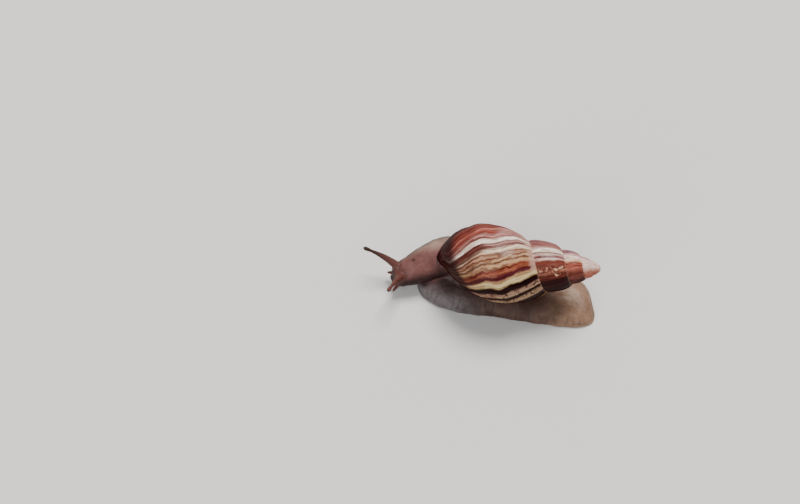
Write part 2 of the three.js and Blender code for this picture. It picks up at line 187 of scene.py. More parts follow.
def waves(points, size, seed, count=14):
    """Soft noise near -1 to 1: a sum of plane waves, about size apart, in random directions."""
    random = np.random.default_rng(seed)
    ways = unit(random.normal(size=(count, points.shape[-1])))
    pace = 2 * np.pi / size * random.uniform(0.6, 1.6, count)
    phases = points @ (ways.T * pace) + random.uniform(0, 6.28, count)
    return np.sin(phases).sum(-1) / np.sqrt(count)


def cell_centres(cubes, seed):
    """One centre in each unit cube: three fractions of a scrambled sine of the cube's place."""
    mixed = (cubes * CELL_PRIMES).sum(-1) + seed * SEED_PRIME
    fractions = [np.modf(np.abs(np.sin(mixed * k)) * SCATTER)[0] for k in (0.013, 0.029, 0.047)]
    return cubes + np.stack(fractions, -1)


def cells(points, seed):
    """Gaps between the nearest and the next nearest of randomly placed cell centres, one in each
    unit cube: 0 on the border between two cells, about 0.5 or more inside one."""
    home = np.floor(points).astype(np.int64)
    near = np.full(len(points), 9.0)
    next_near = np.full(len(points), 9.0)
    for offset in np.ndindex(3, 3, 3):
        away = np.linalg.norm(points - cell_centres(home + np.array(offset) - 1, seed), axis=-1)
        next_near = np.minimum(next_near, np.maximum(near, away))
        near = np.minimum(near, away)
    return next_near - near


print("waves at three places", waves(np.eye(3), 5, 1).round(2))

# %% [markdown]
# ## The shell's wall
# A snail adds to its shell at the lip, and each whorl repeats the one before it, only larger. A
# curve with the Screw modifier could sweep such a coil, but its profile could not change as it
# grows. So the wall is a surface of two numbers. Growth stage w is 0 at the lip and falls by 1 for
# each whorl, and x crosses the wall from its suture (0), the seam between two whorls, to the
# base's pole on the axis (1).

# %%
# Sizes of the shell, in mm. Drops are measured from the apex down the axis.
APEX = np.array([57.0, 4.1, 36.2])  # where the axis would come to a point
PITCH, YAW, LIP_ROLL = np.radians([10.5, 5.2, 12.0])  # the axis rises and swings; the lip is rolled
SUTURE_DROP, SUTURE_RADIUS = 38.9, 14.5  # of the suture at the lip
DROP_GROWTH, RADIUS_GROWTH = 1.82, 1.5  # growth in one whorl
POLE_DROP, POLE_ADVANCE = 70.5, 14.0  # of the base's pole a whorl before the lip, and from there
CLOSING, LIP_CLOSING = 0.85, 0.52  # how a whorl closes on the axis: 1 is a cone, less is blunter
SHOULDER, LIP_SHOULDER = 0.7, 0.9  # how a whorl swells below its suture: less is steeper
LATE_SPAN = 0.6  # share of a whorl before the lip in which the growth changes
EARLY_FULLNESS, EARLY_UNTIL, FULL_FROM = 0.45, -3.2, -1.5  # roundness of the first whorls
NOTCH_DEPTH, NOTCH_RADIUS = 6.2, 9.0  # how far the pillar is drawn in, and within what radius
WHORLS = 7
TIP_BLUNTNESS = 1.2
TURN_STEPS = 256  # rows in one whorl
WHORL_STEPS = 28  # columns from suture to suture
BASE_STEPS = 60  # columns from the last suture to the pole
LIP_STEPS = WHORL_STEPS + BASE_STEPS  # columns along the lip

axis_up = np.array([np.cos(PITCH) * np.cos(YAW), np.cos(PITCH) * np.sin(YAW), np.sin(PITCH)])
axis_side = unit(np.cross([0, 0, 1], axis_up))
axis_top = np.cross(axis_up, axis_side)
print("axis", axis_up.round(3))


# %%
# Profile of the wall
def pole_drop(w):
    """Drop of the pole: POLE_DROP growing by DROP_GROWTH a whorl, then POLE_ADVANCE in the last."""
    early = POLE_DROP * DROP_GROWTH ** (np.minimum(w, -1) + 1)
    return np.where(w < -1, early, POLE_DROP + POLE_ADVANCE * (w + 1))


def suture_share(w):
    """The x at which the next whorl's suture lies: (growth - 1) drop / (pole - drop)."""
    drop = SUTURE_DROP * DROP_GROWTH**w
    return (DROP_GROWTH - 1) * drop / (pole_drop(w) - drop)


def smooth_profile(w, x):
    """Drop and radius: the radius is (1 - x)^closing (1 + belly x^shoulder) times the suture's,
    straighter in the first whorls, and the late pillar is drawn in by the notch."""
    drop = SUTURE_DROP * DROP_GROWTH**w
    late = np.maximum(0, 1 + w / LATE_SPAN)
    closing = mix(CLOSING, LIP_CLOSING, late)
    shoulder = mix(SHOULDER, LIP_SHOULDER, ease(2 * (w + 1)))
    share = suture_share(w)
    belly = (RADIUS_GROWTH / (1 - share) ** closing - 1) / share**shoulder
    full = np.maximum(1 - x, 0) ** closing * (1 + belly * x**shoulder)
    straight = 1 + (RADIUS_GROWTH - 1) * x / share
    fullness = mix(EARLY_FULLNESS, 1, ease((w - EARLY_UNTIL) / (FULL_FROM - EARLY_UNTIL)))
    radius = SUTURE_RADIUS * RADIUS_GROWTH**w * mix(straight, full, fullness)
    drawn = NOTCH_DEPTH * late**1.2 * np.maximum(0, 1 - radius / NOTCH_RADIUS) ** 2
    return mix(drop, pole_drop(w), x) - np.where(x > 0.5, drawn, 0), radius


def shell_points(drop, radius, w):
    """Points at a drop down the axis and a radius, turned round it by -LIP_ROLL - 2 pi w. The drop
    becomes (drop^2 + TIP_BLUNTNESS^2)^(1/2), which blunts the tip."""
    angle = (-LIP_ROLL - 2 * np.pi * w)[..., None]
    drop = np.hypot(drop, TIP_BLUNTNESS)
    outward = np.cos(angle) * axis_side + np.sin(angle) * axis_top
    return APEX - drop[..., None] * axis_up + radius[..., None] * outward


SPIRE_LEAN, BODY_LEAN = 0.08, 0.18  # how far growth lines lean, in whorls, from suture to pole
SHOULDER_STEP = 0.025  # how far they step back at the shoulder


def growth_phase(w, x):
    """Stage at which each point of the wall grew: the growth lines lean by BODY_LEAN x^1.2, or by
    SPIRE_LEAN x^1.2 on the spire, less SHOULDER_STEP below the shoulder, and turn back round the
    base. Near the lip they lie along it."""
    lean = mix(SPIRE_LEAN, BODY_LEAN, ease((w + 0.95) / 0.1)) * x**1.2
    lean = lean - SHOULDER_STEP * ease((x - 0.35) / 0.2)
    return w + lean * (1 - 0.9 * ease((x - 0.86) / 0.14)) * ease(-w / 0.12)


print("suture share at the lip", suture_share(np.array(0.0)).round(3))

# %% [markdown]
# ## Relief of the shell
# The real wall has fine ridges, one for each spell of growth, soft lumps, a narrow groove along
# the suture, and an old scar where it once broke and healed. A bump texture would show them only
# where light grazes them. Here they move the wall itself, each by a share of its radius, so that
# they also show in the outline and keep their proportions from whorl to whorl.

# %%
# Sizes of the relief: heights are shares of the radius, widths are shares of a whorl's breadth
RIDGES, RIDGE_HEIGHT = 31, 0.0045  # ridges in one whorl
FINE_RIDGES, FINE_HEIGHT = 57, 0.002
LUMPS = ((14, 0.007, 3), (5, 0.0035, 4))  # size in mm, height and seed
SCAR_GRAIN, SCAR_HEIGHT, SCAR_DEPTH, SCAR_SEED = 1.6, 0.014, 0.004, 5
GROOVE_DEPTH, GROOVE_WIDTH = 0.014, 0.07
SEAM_FADE, POLE_FADE = 0.14, 0.12  # the relief dies out over this much at a suture and the pole
SCAR_AT, SCAR_WIDTH, BRANCH_WIDTH = -1.34, 0.019, 0.013  # growth phase and widths, in whorls
print("ridges stand up to", round(RIDGE_HEIGHT * SUTURE_RADIUS, 3), "mm at the lip's suture")


# %%
# Relief of the shell
def worn(w, x):
    """1 on an old scar of the spire: a wide band along the growth line SCAR_AT by the late suture,
    which splits into a band that dips by 0.02 in its middle and one that bends down to -1.39."""
    p = growth_phase(w, x)
    across = x / suture_share(w)
    dip = -1.335 - 0.02 * bell(across, 0.31, 0.09)
    upper = bell(p, dip, BRANCH_WIDTH) * between(across, 0.04, 0.6, 0.1)
    bend = -1.39 + 0.04 * ease((across - 0.36) / 0.16) + 0.02 * ease((0.26 - across) / 0.12)
    lower = bell(p, bend, BRANCH_WIDTH) * between(across, 0.14, 0.6, 0.1)
    wide = bell(p, SCAR_AT, SCAR_WIDTH) * ease((across - 0.52) / 0.14) * ease((1.02 - across) / 0.08)
    return np.maximum(np.maximum(upper, lower), wide) * ease((w + 1.6) / 0.05)


def uneven_ridges(p, count, sway, pace):
    """Ridges, count in a whorl, whose spacing sways: sin(2 pi (count p + sway sin(2 pi pace p)))."""
    return np.sin(2 * np.pi * (count * p + sway * np.sin(2 * np.pi * pace * p)))


def relief(w, x):
    """Share of the radius by which the wall is raised: ridges, lumps and the scar. It fades at the
    sutures, so that neighbouring whorls meet, at the pole and over the first whorls, which are
    smooth. A groove is sunk along each suture."""
    p = growth_phase(w, x)
    share = suture_share(w)
    near_mouth = 1 - ease((w + 1) / 0.03)
    below = np.where(w < -1, 1.0, near_mouth)
    to_next = np.abs(share - x) / share
    fade = ease(x / share / SEAM_FADE) * (1 - below * (1 - ease(to_next / SEAM_FADE)))
    strength = 0.6 + 0.4 * np.sin(2 * np.pi * 2.7 * p + 1)
    ridges = RIDGE_HEIGHT * uneven_ridges(p, RIDGES, 0.7, 4.3)
    raised = (ridges + FINE_HEIGHT * uneven_ridges(p, FINE_RIDGES, 0.9, 7.1)) * strength
    drop, radius = smooth_profile(w, x)
    at = shell_points(drop, radius, w)
    for size, height, seed in LUMPS:
        raised = raised + height * waves(at, size, seed)
    raised = raised + worn(w, x) * (SCAR_HEIGHT * waves(at, SCAR_GRAIN, SCAR_SEED) - SCAR_DEPTH)
    groove = bell(x / share, 0, GROOVE_WIDTH) * ease((w + 5.6) / 1.2)
    groove = groove + below * bell(to_next, 0, GROOVE_WIDTH) * ease((w + 6.6) / 1.2)
    grown = ease((1 - x) / POLE_FADE) * ease((w + 5.2) / 1.6)
    return raised * fade * grown - GROOVE_DEPTH * groove


def wall_profile(w, x):
    """Drop and radius of the finished wall."""
    drop, radius = smooth_profile(w, x)
    return drop, radius * (1 + relief(w, x))


print("relief in the middle of the last whorl", relief(np.full(1, -0.5), np.full(1, 0.3)).round(4))

# %% [markdown]
# ## The shell's mesh
# Three grids share their edges: the spire, the last whorl, and the hollow mouth between the lip
# and the whorl before it. A Boolean could cut the mouth out of a solid coil, but it would leave
# long thin faces there. Grids that end on the same points can simply be welded into one closed
# surface. Each corner keeps its growth phase, which the colours need later.


# %%
# Grids of the spire and the last whorl
def spire_grid():
    """Stages -WHORLS to -1, from suture to suture."""
    w = np.linspace(-WHORLS, -1, (WHORLS - 1) * TURN_STEPS + 1)[:, None]
    x = suture_share(w) * np.linspace(0, 1, WHORL_STEPS + 1)[None]
    return np.broadcast_to(w, x.shape), x


def lip_columns(w):
    """The x of each column of the last whorl: even to the next suture, then denser at the pole."""
    share = suture_share(w)
    upper = share * np.linspace(0, 1, WHORL_STEPS + 1)[None]
    t = np.linspace(0, 1, BASE_STEPS + 1)[None, 1:]
    return np.concatenate([upper, mix(share, 1, 1 - (1 - t) ** 1.5)], axis=1)


def last_grid():
    """Stages -1 to 0, from the suture to the pole."""
    w = np.linspace(-1, 0, TURN_STEPS + 1)[:, None]
    x = lip_columns(w)
    return np.broadcast_to(w, x.shape), x


spire_w, spire_x = spire_grid()
last_w, last_x = last_grid()
spire_points = shell_points(*wall_profile(spire_w, spire_x), spire_w)
last_points = shell_points(*wall_profile(last_w, last_x), last_w)
print("shell grids", spire_points.shape, last_points.shape)

# %%
# Grid of the mouth
MOUTH_DEPTH = 0.045  # in whorls
LIP_THINNING, MOUTH_THINNING = 0.015, 0.03  # shares of the radius


def mouth_section(row, column):
    """Drop and radius in the plane of the mouth: column runs along the lip, row from the lip (0)
    to the whorl before it. Rows end on the pole's own points; elsewhere they bunch at the edges."""
    zero, one = np.zeros_like(column, float), -np.ones_like(column, float)
    lip_x = lip_columns(np.zeros((1, 1)))[0][column]
    inner = WHORL_STEPS + np.rint(column / LIP_STEPS * BASE_STEPS).astype(int)
    wall_x = lip_columns(-np.ones((1, 1)))[0][inner]
    lip, wall = wall_profile(zero, lip_x), wall_profile(one, wall_x)
    pole_rows = smooth_profile(-row / TURN_STEPS, np.ones_like(row, float))[0]
    first, last = smooth_profile(np.array([0.0, -1.0]), np.ones(2))[0]
    pole_share = (first - pole_rows) / (first - last)
    even_share = 0.5 - 0.5 * np.cos(np.pi * row / TURN_STEPS)
    across = mix(even_share, pole_share, (column / LIP_STEPS) ** 6)
    return mix(lip[0], wall[0], across), mix(lip[1], wall[1], across)


def sunk_points(drop, radius, sink):
    """Points moved back along the coil by sink whorls, where the shell is smaller."""
    return shell_points(drop * DROP_GROWTH**-sink, radius * RADIUS_GROWTH**-sink, -sink)


def mouth_points():
    """The hollow of the mouth: it falls away steeply behind the lip, and its radius is smaller
    there by LIP_THINNING at once and by MOUTH_THINNING further in."""
    row, column = np.meshgrid(np.arange(TURN_STEPS + 1), np.arange(LIP_STEPS + 1), indexing="ij")
    from_lip = ease((row / TURN_STEPS * 28 - 2) / 2)
    drop, radius = mouth_section(row, column)
    nearer = (LIP_THINNING * ease(row / 10) + MOUTH_THINNING * from_lip) * ease(column / 5)
    radius = radius * (1 - nearer * (1 - row / TURN_STEPS) ** 2)
    from_wall = ease((TURN_STEPS - row) / TURN_STEPS * 14)
    sides = ease(np.minimum(column, LIP_STEPS - column) / 7)
    return sunk_points(drop, radius, MOUTH_DEPTH * from_lip * from_wall * sides)


mouth = mouth_points()
print("mouth grid", mouth.shape)

# %%
# One welded mesh for the shell
SHELL_WELD = 2e-6  # metres
TIP_POINT = APEX - 1.02 * TIP_BLUNTNESS * axis_up


def tip_fan(start):
    """Triangles from the point numbered start to the open edge of the first whorl."""
    columns = WHORL_STEPS + 1
    edge = np.concatenate([np.arange(TURN_STEPS, -1, -1) * columns, np.arange(1, columns)])
    return np.stack([np.full(len(edge) - 1, start), edge[:-1], edge[1:]], axis=-1)


def shell_mesh():
    """Joins the three grids and a fan over the tip, keeps each corner's growth phase, x, w and
    wear and each face's part in the mouth, and welds the points that coincide."""
    grids = [spire_points, last_points, mouth]
    sizes = [g.shape[0] * g.shape[1] for g in grids]
    starts = np.concatenate([[0], np.cumsum(sizes)])
    spire, body, hollow = (grid_faces(*g.shape[:2], start) for g, start in zip(grids, starts))
    fan = tip_fan(starts[-1])
    faces = np.concatenate([spire, body, hollow[:, ::-1]]).tolist() + fan.tolist()
    points = np.concatenate([g.reshape(-1, 3) for g in grids] + [TIP_POINT[None]])
    mesh = mesh_from("snail_shell", points, faces)
    lip_x = np.broadcast_to(lip_columns(np.zeros((1, 1))), mouth.shape[:2])
    w = np.concatenate([spire_w.ravel(), last_w.ravel(), np.zeros(sizes[2]), [-WHORLS]])
    x = np.concatenate([spire_x.ravel(), last_x.ravel(), lip_x.ravel(), [0.0]])
    corner = np.zeros(len(mesh.loops), np.int32)
    mesh.loops.foreach_get("vertex_index", corner)
    keep(mesh, "growth", "CORNER", np.stack([growth_phase(w, x), x, w], axis=-1)[corner])
    keep(mesh, "worn", "CORNER", worn(w, x)[corner])
    outer = np.zeros(len(spire) + len(body))
    keep(mesh, "mouth", "FACE", np.concatenate([outer, np.ones(len(hollow)), np.zeros(len(fan))]))
    weld(mesh, SHELL_WELD)
    return mesh


shell = show(shell_mesh())
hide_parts("shell")
triangles = sum(len(p.vertices) - 2 for p in shell.data.polygons)
print("shell:", len(shell.data.vertices), "points,", triangles, "triangles")

# %% [markdown]
# ## The flesh, first as plain closed forms
# The body is a flat foot, a trunk that rises into the shell, a neck with the head, four tentacles,
# two lips, and the mantle collar that fills the shell's mouth. Metaballs could melt into such a
# body, but their shape is hard to steer. Each form here is a loft, a stack of rings along a line,
# which can be looked at and moved alone. Later they become one skin.


# %%
# Lofts
def loft(rings, first, last):
    """A closed form over rings of points, counter-clockwise seen from the last one, with a fan to
    a middle point at each end."""
    rows, count = rings.shape[:2]
    closed = np.concatenate([rings, rings[:, :1]], axis=1)
    quads = grid_faces(rows, count + 1)
    quads = np.stack([quads[:, 0], quads[:, 3], quads[:, 2], quads[:, 1]], axis=-1)
    base = rows * (count + 1)
    low = np.arange(count)
    high = low + (rows - 1) * (count + 1)
    near = np.stack([np.full(count, base), low + 1, low], axis=-1)
    far = np.stack([np.full(count, base + 1), high, high + 1], axis=-1)
    points = np.concatenate([closed.reshape(-1, 3), [first], [last]])
    return points, quads.tolist() + near.tolist() + far.tolist()


def curve_points(stations, t):
    """Points on the centripetal Catmull-Rom curve through the stations, t from 0 to 1."""
    before, after = 2 * stations[0] - stations[1], 2 * stations[-1] - stations[-2]
    p = np.concatenate([[before], stations, [after]])
    spot = np.clip(t, 0, 1) * (len(stations) - 1)
    i = np.minimum(spot.astype(int), len(stations) - 2)
    u = (spot - i)[:, None]
    a, b, c, d = p[i], p[i + 1], p[i + 2], p[i + 3]
    spans = (np.linalg.norm(v, axis=-1, keepdims=True) for v in (b - a, c - b, d - c))
    ab, bc, cd = (np.maximum(span**0.5, 1e-6) for span in spans)
    into = ((b - a) / ab - (c - a) / (ab + bc) + (c - b) / bc) * bc
    out = ((c - b) / bc - (d - b) / (bc + cd) + (d - c) / cd) * bc
    return b + into * u + (3 * (c - b) - 2 * into - out) * u**2 + (2 * (b - c) + into + out) * u**3


def curve_ways(stations, t):
    """Unit directions of that curve, from a point a little before t to one a little after."""
    before, after = np.maximum(t - 1e-3, 0), np.minimum(t + 1e-3, 1)
    return unit(curve_points(stations, after) - curve_points(stations, before))


def curve_end(stations, t=1.0):
    """The curve's point and direction at its end, or at one other t, each as one row."""
    return curve_points(stations, np.full(1, t)), curve_ways(stations, np.full(1, t))


def oval_rings(centres, ways, widths, heights, count):
    """Ovals across each way: one half axis level, the other at right angles to it and the way."""
    across = unit(np.cross([0, 0, 1], ways))
    upward = unit(np.cross(ways, across))
    turn = 2 * np.pi * np.arange(count) / count
    level = widths[:, None, None] * np.cos(turn)[None, :, None] * across[:, None]
    raised = heights[:, None, None] * np.sin(turn)[None, :, None] * upward[:, None]
    return centres[:, None] + level + raised


def rounded_end(end, way, length, halves, tilts, count):
    """Rings of a half ellipsoid of that length beyond an end, one at each tilt, and its point: the
    half axes shrink as the cosine of the tilt and the centre moves out as its sine."""
    centres = end + way * length * np.sin(tilts)[:, None]
    sizes = [half * np.cos(tilts) for half in halves]
    rings = oval_rings(centres, np.repeat(way, len(tilts), axis=0), *sizes, count)
    return rings, (end + way * length)[0]


print("a curve through three points ends at", curve_end(np.eye(3))[0][0].round(2))

# %%
# The foot: sizes in mm, and squarenesses, where 2 is an ellipse and more is blunter
FOOT_CENTRE_X, FOOT_REAR, FOOT_FORE, FOOT_HALF_WIDTH = 14.0, 47.5, 47.0, 16.0
FRONT_SQUARENESS, TAIL_SQUARENESS, DOME_SQUARENESS = 3.0, 4.0, 3.4
FOOT_HEIGHT, TAIL_HEIGHT = 11.3, 7.5
TAIL_SLANT, TAIL_PIVOT, FRONT_SHIFT = 0.35, -11.0, -1.5  # the slant is nothing at the pivot's y
TAIL_FROM, TAIL_LENGTH = 8, 34  # where the foot starts to change into the tail, and how long it takes
SOLE_STEPS, DOME_STEPS = 240, 26


def sole_outline(turn):
    """The sole's edge: |cos|^(2/power) and |sin|^(2/power) ovals, blunter and slanted behind."""
    c, s = np.cos(turn), np.sin(turn)
    power = mix(FRONT_SQUARENESS, TAIL_SQUARENESS, ease(c + 0.5))
    x = np.where(c > 0, FOOT_REAR, FOOT_FORE) * np.sign(c) * np.abs(c) ** (2 / power)
    y = FOOT_HALF_WIDTH * np.sign(s) * np.abs(s) ** (2 / power)
    slant = TAIL_SLANT * (y - TAIL_PIVOT) * ease((x - TAIL_FROM) / TAIL_LENGTH)
    return np.stack([FOOT_CENTRE_X + x - slant, y + FRONT_SHIFT * ease(-x / 30), 0 * x], axis=-1)


def foot_height(x):
    """Height of the foot's ridge: FOOT_HEIGHT, easing to TAIL_HEIGHT behind."""
    return mix(FOOT_HEIGHT, TAIL_HEIGHT, ease((x - TAIL_FROM) / TAIL_LENGTH))


def foot():
    """Rings from the sole's edge to its middle line rise as height (1 - share^squareness)^(1/2)."""
    edge = sole_outline(2 * np.pi * np.arange(SOLE_STEPS) / SOLE_STEPS)
    flat = 0 * edge[:, 0]
    middle = np.stack([mix(edge[:, 0], FOOT_CENTRE_X, 0.3), flat, flat], axis=-1)
    share = np.concatenate([1 - np.linspace(0, 1, DOME_STEPS)[:-2] ** 2.2, [0.03]])
    share = np.unique(share)[::-1][:, None, None]
    rings = middle + (edge - middle) * share
    rise = np.sqrt(np.maximum(0, 1 - share[..., 0] ** DOME_SQUARENESS))
    rings[..., 2] = foot_height(rings[..., 0]) * rise
    return loft(rings, [FOOT_CENTRE_X, 0, 0], [FOOT_CENTRE_X, 0, FOOT_HEIGHT])


forms = {"foot": foot()}
print("foot:", len(forms["foot"][0]), "points")

# %%
# Trunk: x, y, z, then the half axes along x and y, in mm
TRUNK_FOOT = np.array([-3, 1.5, 3, 25, 12.5])
TRUNK_TOP = np.array([-5.5, 9, 24, 14, 7.5])
TRUNK_ROWS, TRUNK_STEPS = 9, 96


def trunk():
    """An upright oval column that leans and narrows with ease(t)."""
    t = np.linspace(0, 1, TRUNK_ROWS)[:, None]
    centre = mix(TRUNK_FOOT[:3], TRUNK_TOP[:3], t)
    half = mix(TRUNK_FOOT[3:], TRUNK_TOP[3:], ease(t))
    turn = 2 * np.pi * np.arange(TRUNK_STEPS) / TRUNK_STEPS
    outward = np.stack([np.cos(turn), np.sin(turn), 0 * turn], axis=-1)
    sizes = np.concatenate([half, np.zeros((TRUNK_ROWS, 1))], axis=1)
    return loft(centre[:, None] + sizes[:, None] * outward[None], centre[0], centre[-1])


forms["trunk"] = trunk()
print("trunk:", len(forms["trunk"][0]), "points")

# %%
# Neck and head: x, y, z, then the level and the upright half axis, in mm
NECK_STATIONS = np.array([
    [-4, 9.5, 17, 9.5, 9],
    [-13, 9.2, 14.6, 10.2, 8.8],
    [-21, 7.6, 12.7, 10.6, 8.3],
    [-27, 4.6, 11.5, 10, 7.8],
    [-32, 1.3, 10.8, 9.1, 7.2],
    [-36.5, -1.7, 10.3, 7.9, 6.5],
    [-40, -3.9, 9.8, 7.1, 5.9],
    [-42.6, -5.5, 9.3, 6.4, 5.3],
])
NOSE_LENGTH, REAR_LENGTH = 3.0, 14.0
NECK_ROWS, NECK_STEPS = 60, 72
neck_path, neck_halves = NECK_STATIONS[:, :3], NECK_STATIONS[:, 3:]


def neck_and_head():
    """Ovals along the neck's path, closed by a rounded nose and a longer rounded end behind."""
    t = np.linspace(0, 1, NECK_ROWS)
    place = t * (len(neck_path) - 1)
    sizes = [np.interp(place, np.arange(len(neck_path)), half) for half in neck_halves.T]
    rings = oval_rings(curve_points(neck_path, t), curve_ways(neck_path, t), *sizes, NECK_STEPS)
    tilts = np.radians(np.linspace(8, 84, 11))
    nose, nose_point = rounded_end(
        *curve_end(neck_path), NOSE_LENGTH, neck_halves[-1], tilts, NECK_STEPS
    )
    rear, rear_point = rounded_end(
        *curve_end(neck_path, 0.0), -REAR_LENGTH, neck_halves[0], tilts, NECK_STEPS
    )
    return loft(np.concatenate([rear[::-1], rings, nose]), rear_point, nose_point)


forms["neck"] = neck_and_head()
print("neck:", len(forms["neck"][0]), "points")

# %%
# Tentacles and lips: stations and radii in mm
TENTACLE_BASE, TENTACLE_SLIM, KNOB_RADIUS, EYE_RADIUS = 3.1, 0.85, 1.15, 0.5
PALP_BASE, PALP_TIP = 1.3, 0.75
UPPER_TENTACLES = {
    "right": np.array([
        [-41, -3.2, 10.8], [-45.9, -1.1, 13.5], [-51.3, 0.3, 16.5], [-56, 0.9, 19], [-61, 1.3, 21.2]
    ]),
    "left": np.array([[-40.3, -4.6, 10.8], [-41.4, -8, 14], [-43.2, -12.8, 18], [-45.3, -19.4, 22]]),
}
LOWER_TENTACLES = {
    "right": np.array([[-43.4, -3.1, 7.4], [-46.6, -3.1, 6.2], [-48.6, -3, 5.3]]),
    "left": np.array([[-41, -7.6, 7.4], [-43, -10.5, 6.2], [-44.2, -12.5, 5.3]]),
}
LIPS = {"right": np.array([-45.3, -5.7, 6.9]), "left": np.array([-43.9, -8, 6.9])}
LIP_SIZE = np.array([1.9, 1.9, 2.4])
ROD_STEPS = 28


def tentacle_radius(t):
    """A cone that slims as t^0.7 and swells into a knob at the end."""
    cone = mix(TENTACLE_BASE, TENTACLE_SLIM, np.minimum(1, t / 0.85) ** 0.7)
    return cone + (KNOB_RADIUS - TENTACLE_SLIM) * ease((t - 0.84) / 0.16)


def palp_radius(t):
    """A plain cone for the lower tentacles."""
    return mix(PALP_BASE, PALP_TIP, t)


def rod(stations, radius, rows):
    """A round rod along the curve with a rounded end; radius is a function of t."""
    t = np.linspace(0, 1, rows)
    halves = [radius(t)] * 2
    rings = oval_rings(curve_points(stations, t), curve_ways(stations, t), *halves, ROD_STEPS)
    size = radius(np.ones(1))[0]
    tilts = np.radians(np.linspace(12, 80, 6))
    cap, point = rounded_end(*curve_end(stations), size, [size, size], tilts, ROD_STEPS)
    return loft(np.concatenate([rings, cap]), stations[0], point)


def ball(centre, size, rows=20, count=32):
    """An ellipsoid of rings of latitude."""
    tilt = np.linspace(-np.pi / 2, np.pi / 2, rows)[1:-1, None]
    turn = (2 * np.pi * np.arange(count) / count)[None]
    outward = [np.cos(tilt) * np.cos(turn), np.cos(tilt) * np.sin(turn), np.sin(tilt) + 0 * turn]
    pole = size * [0, 0, 1]
    return loft(centre + size * np.stack(outward, axis=-1), centre - pole, centre + pole)


eye_centres = {}
for side in ("left", "right"):
    forms["upper_" + side] = rod(UPPER_TENTACLES[side], tentacle_radius, 60)
    forms["lower_" + side] = rod(LOWER_TENTACLES[side], palp_radius, 16)
    forms["lip_" + side] = ball(LIPS[side], LIP_SIZE)
    tip, way = curve_end(UPPER_TENTACLES[side])
    eye_centres[side] = (tip + way * KNOB_RADIUS * 0.75)[0]
print("eyes at", {side: c.round(1).tolist() for side, c in eye_centres.items()})

# %%
# The mantle collar: depths in whorls, inset as a share of the mouth's width
COLLAR_DEPTH, COLLAR_DROOP, COLLAR_INSET = 0.034, 0.008, 0.05
COLLAR_FROM, COLLAR_TO = 12, 44  # columns of the mouth
ROW_SKIP, COLUMN_SKIP = 8, 2  # the collar is this much coarser than the mouth


def rim_of(numbers):
    """The numbers round the edge of a grid, in order."""
    return np.concatenate([numbers[:-1, 0], numbers[-1, :-1], numbers[:0:-1, -1], numbers[0, :0:-1]])


def collar():
    """A slab that fills the mouth: its outer face bulges by the root of sin x sin."""
    rows = np.arange(0, TURN_STEPS + 1, ROW_SKIP)
    columns = np.arange(COLLAR_FROM, COLLAR_TO + 1, COLUMN_SKIP)
    row, column = np.meshgrid(rows, columns, indexing="ij")
    lip, wall = mouth_section(0 * row, column), mouth_section(0 * row + TURN_STEPS, column)
    even = 0.5 - 0.5 * np.cos(np.pi * row / TURN_STEPS)
    across = mix(COLLAR_INSET, 1 - COLLAR_INSET, even)
    drop, radius = mix(lip[0], wall[0], across), mix(lip[1], wall[1], across)
    along = (column - COLLAR_FROM) / (COLLAR_TO - COLLAR_FROM)
    swell = np.sqrt(np.maximum(0, np.sin(np.pi * row / TURN_STEPS) * np.sin(np.pi * along)))
    front = sunk_points(drop, radius, -COLLAR_DROOP * swell)
    back = sunk_points(drop, radius, COLLAR_DEPTH + 0 * swell)
    points = np.concatenate([front.reshape(-1, 3), back.reshape(-1, 3)])
    rim = rim_of(np.arange(row.size).reshape(row.shape))
    following = np.roll(rim, -1)
    sides = np.stack([rim, following, following + row.size, rim + row.size], axis=-1)
    quads = grid_faces(*row.shape)
    return points, quads[:, ::-1].tolist() + (quads + row.size).tolist() + sides.tolist()


forms["collar"] = collar()
print("collar:", len(forms["collar"][0]), "points")

# %% [markdown]
# ## One skin
# On the animal no part ends where the next begins. The forms could be joined with Booleans, but
# each meeting would stay a hard crease. The Remesh modifier in voxel mode wraps them all in one
# even net of quads instead. The net is then relaxed, strongly where forms meet and gently where
# they are slender, so that the creases flow together while the tentacles stay thin.

# %%
# Join and remesh
VOXEL = 0.00037  # metres
FORM_WELD = 1e-6  # metres


def joined(parts):
    """One mesh of all the forms, each with its faces turned outwards."""
    work = bmesh.new()
    for points, faces in parts:
        one = mesh_from("form", points, faces)
        weld(one, FORM_WELD)
        work.from_mesh(one)
        bpy.data.meshes.remove(one)
    mesh = bpy.data.meshes.new("forms")
    work.to_mesh(mesh)
    work.free()
    return mesh


def remeshed(mesh, size):
    """The mesh after Blender's voxel remesh at that size."""
    carrier = bpy.data.objects.new("carrier", mesh)
    bpy.context.scene.collection.objects.link(carrier)
    change = carrier.modifiers.new("remesh", "REMESH")
    change.mode = "VOXEL"
    change.voxel_size = size
    graph = bpy.context.evaluated_depsgraph_get()
    result = bpy.data.meshes.new_from_object(carrier.evaluated_get(graph))
    bpy.data.objects.remove(carrier)
    result.name = "snail_skin"
    return result


skin_mesh = remeshed(joined(forms.values()), VOXEL)
print("remeshed skin:", len(skin_mesh.vertices), "points")


# %%
# Points, edges and neighbours of the skin
def coordinates(mesh):
    """The mesh's points in mm in the formulas' frame."""
    flat = np.zeros(len(mesh.vertices) * 3)
    mesh.vertices.foreach_get("co", flat)
    return flat.reshape(-1, 3) / MM - BOX_SHIFT


def edges_of(mesh):
    """The mesh's edges as pairs of point numbers."""
    flat = np.zeros(len(mesh.edges) * 2, np.int64)
    mesh.edges.foreach_get("vertices", flat)
    return flat.reshape(-1, 2)


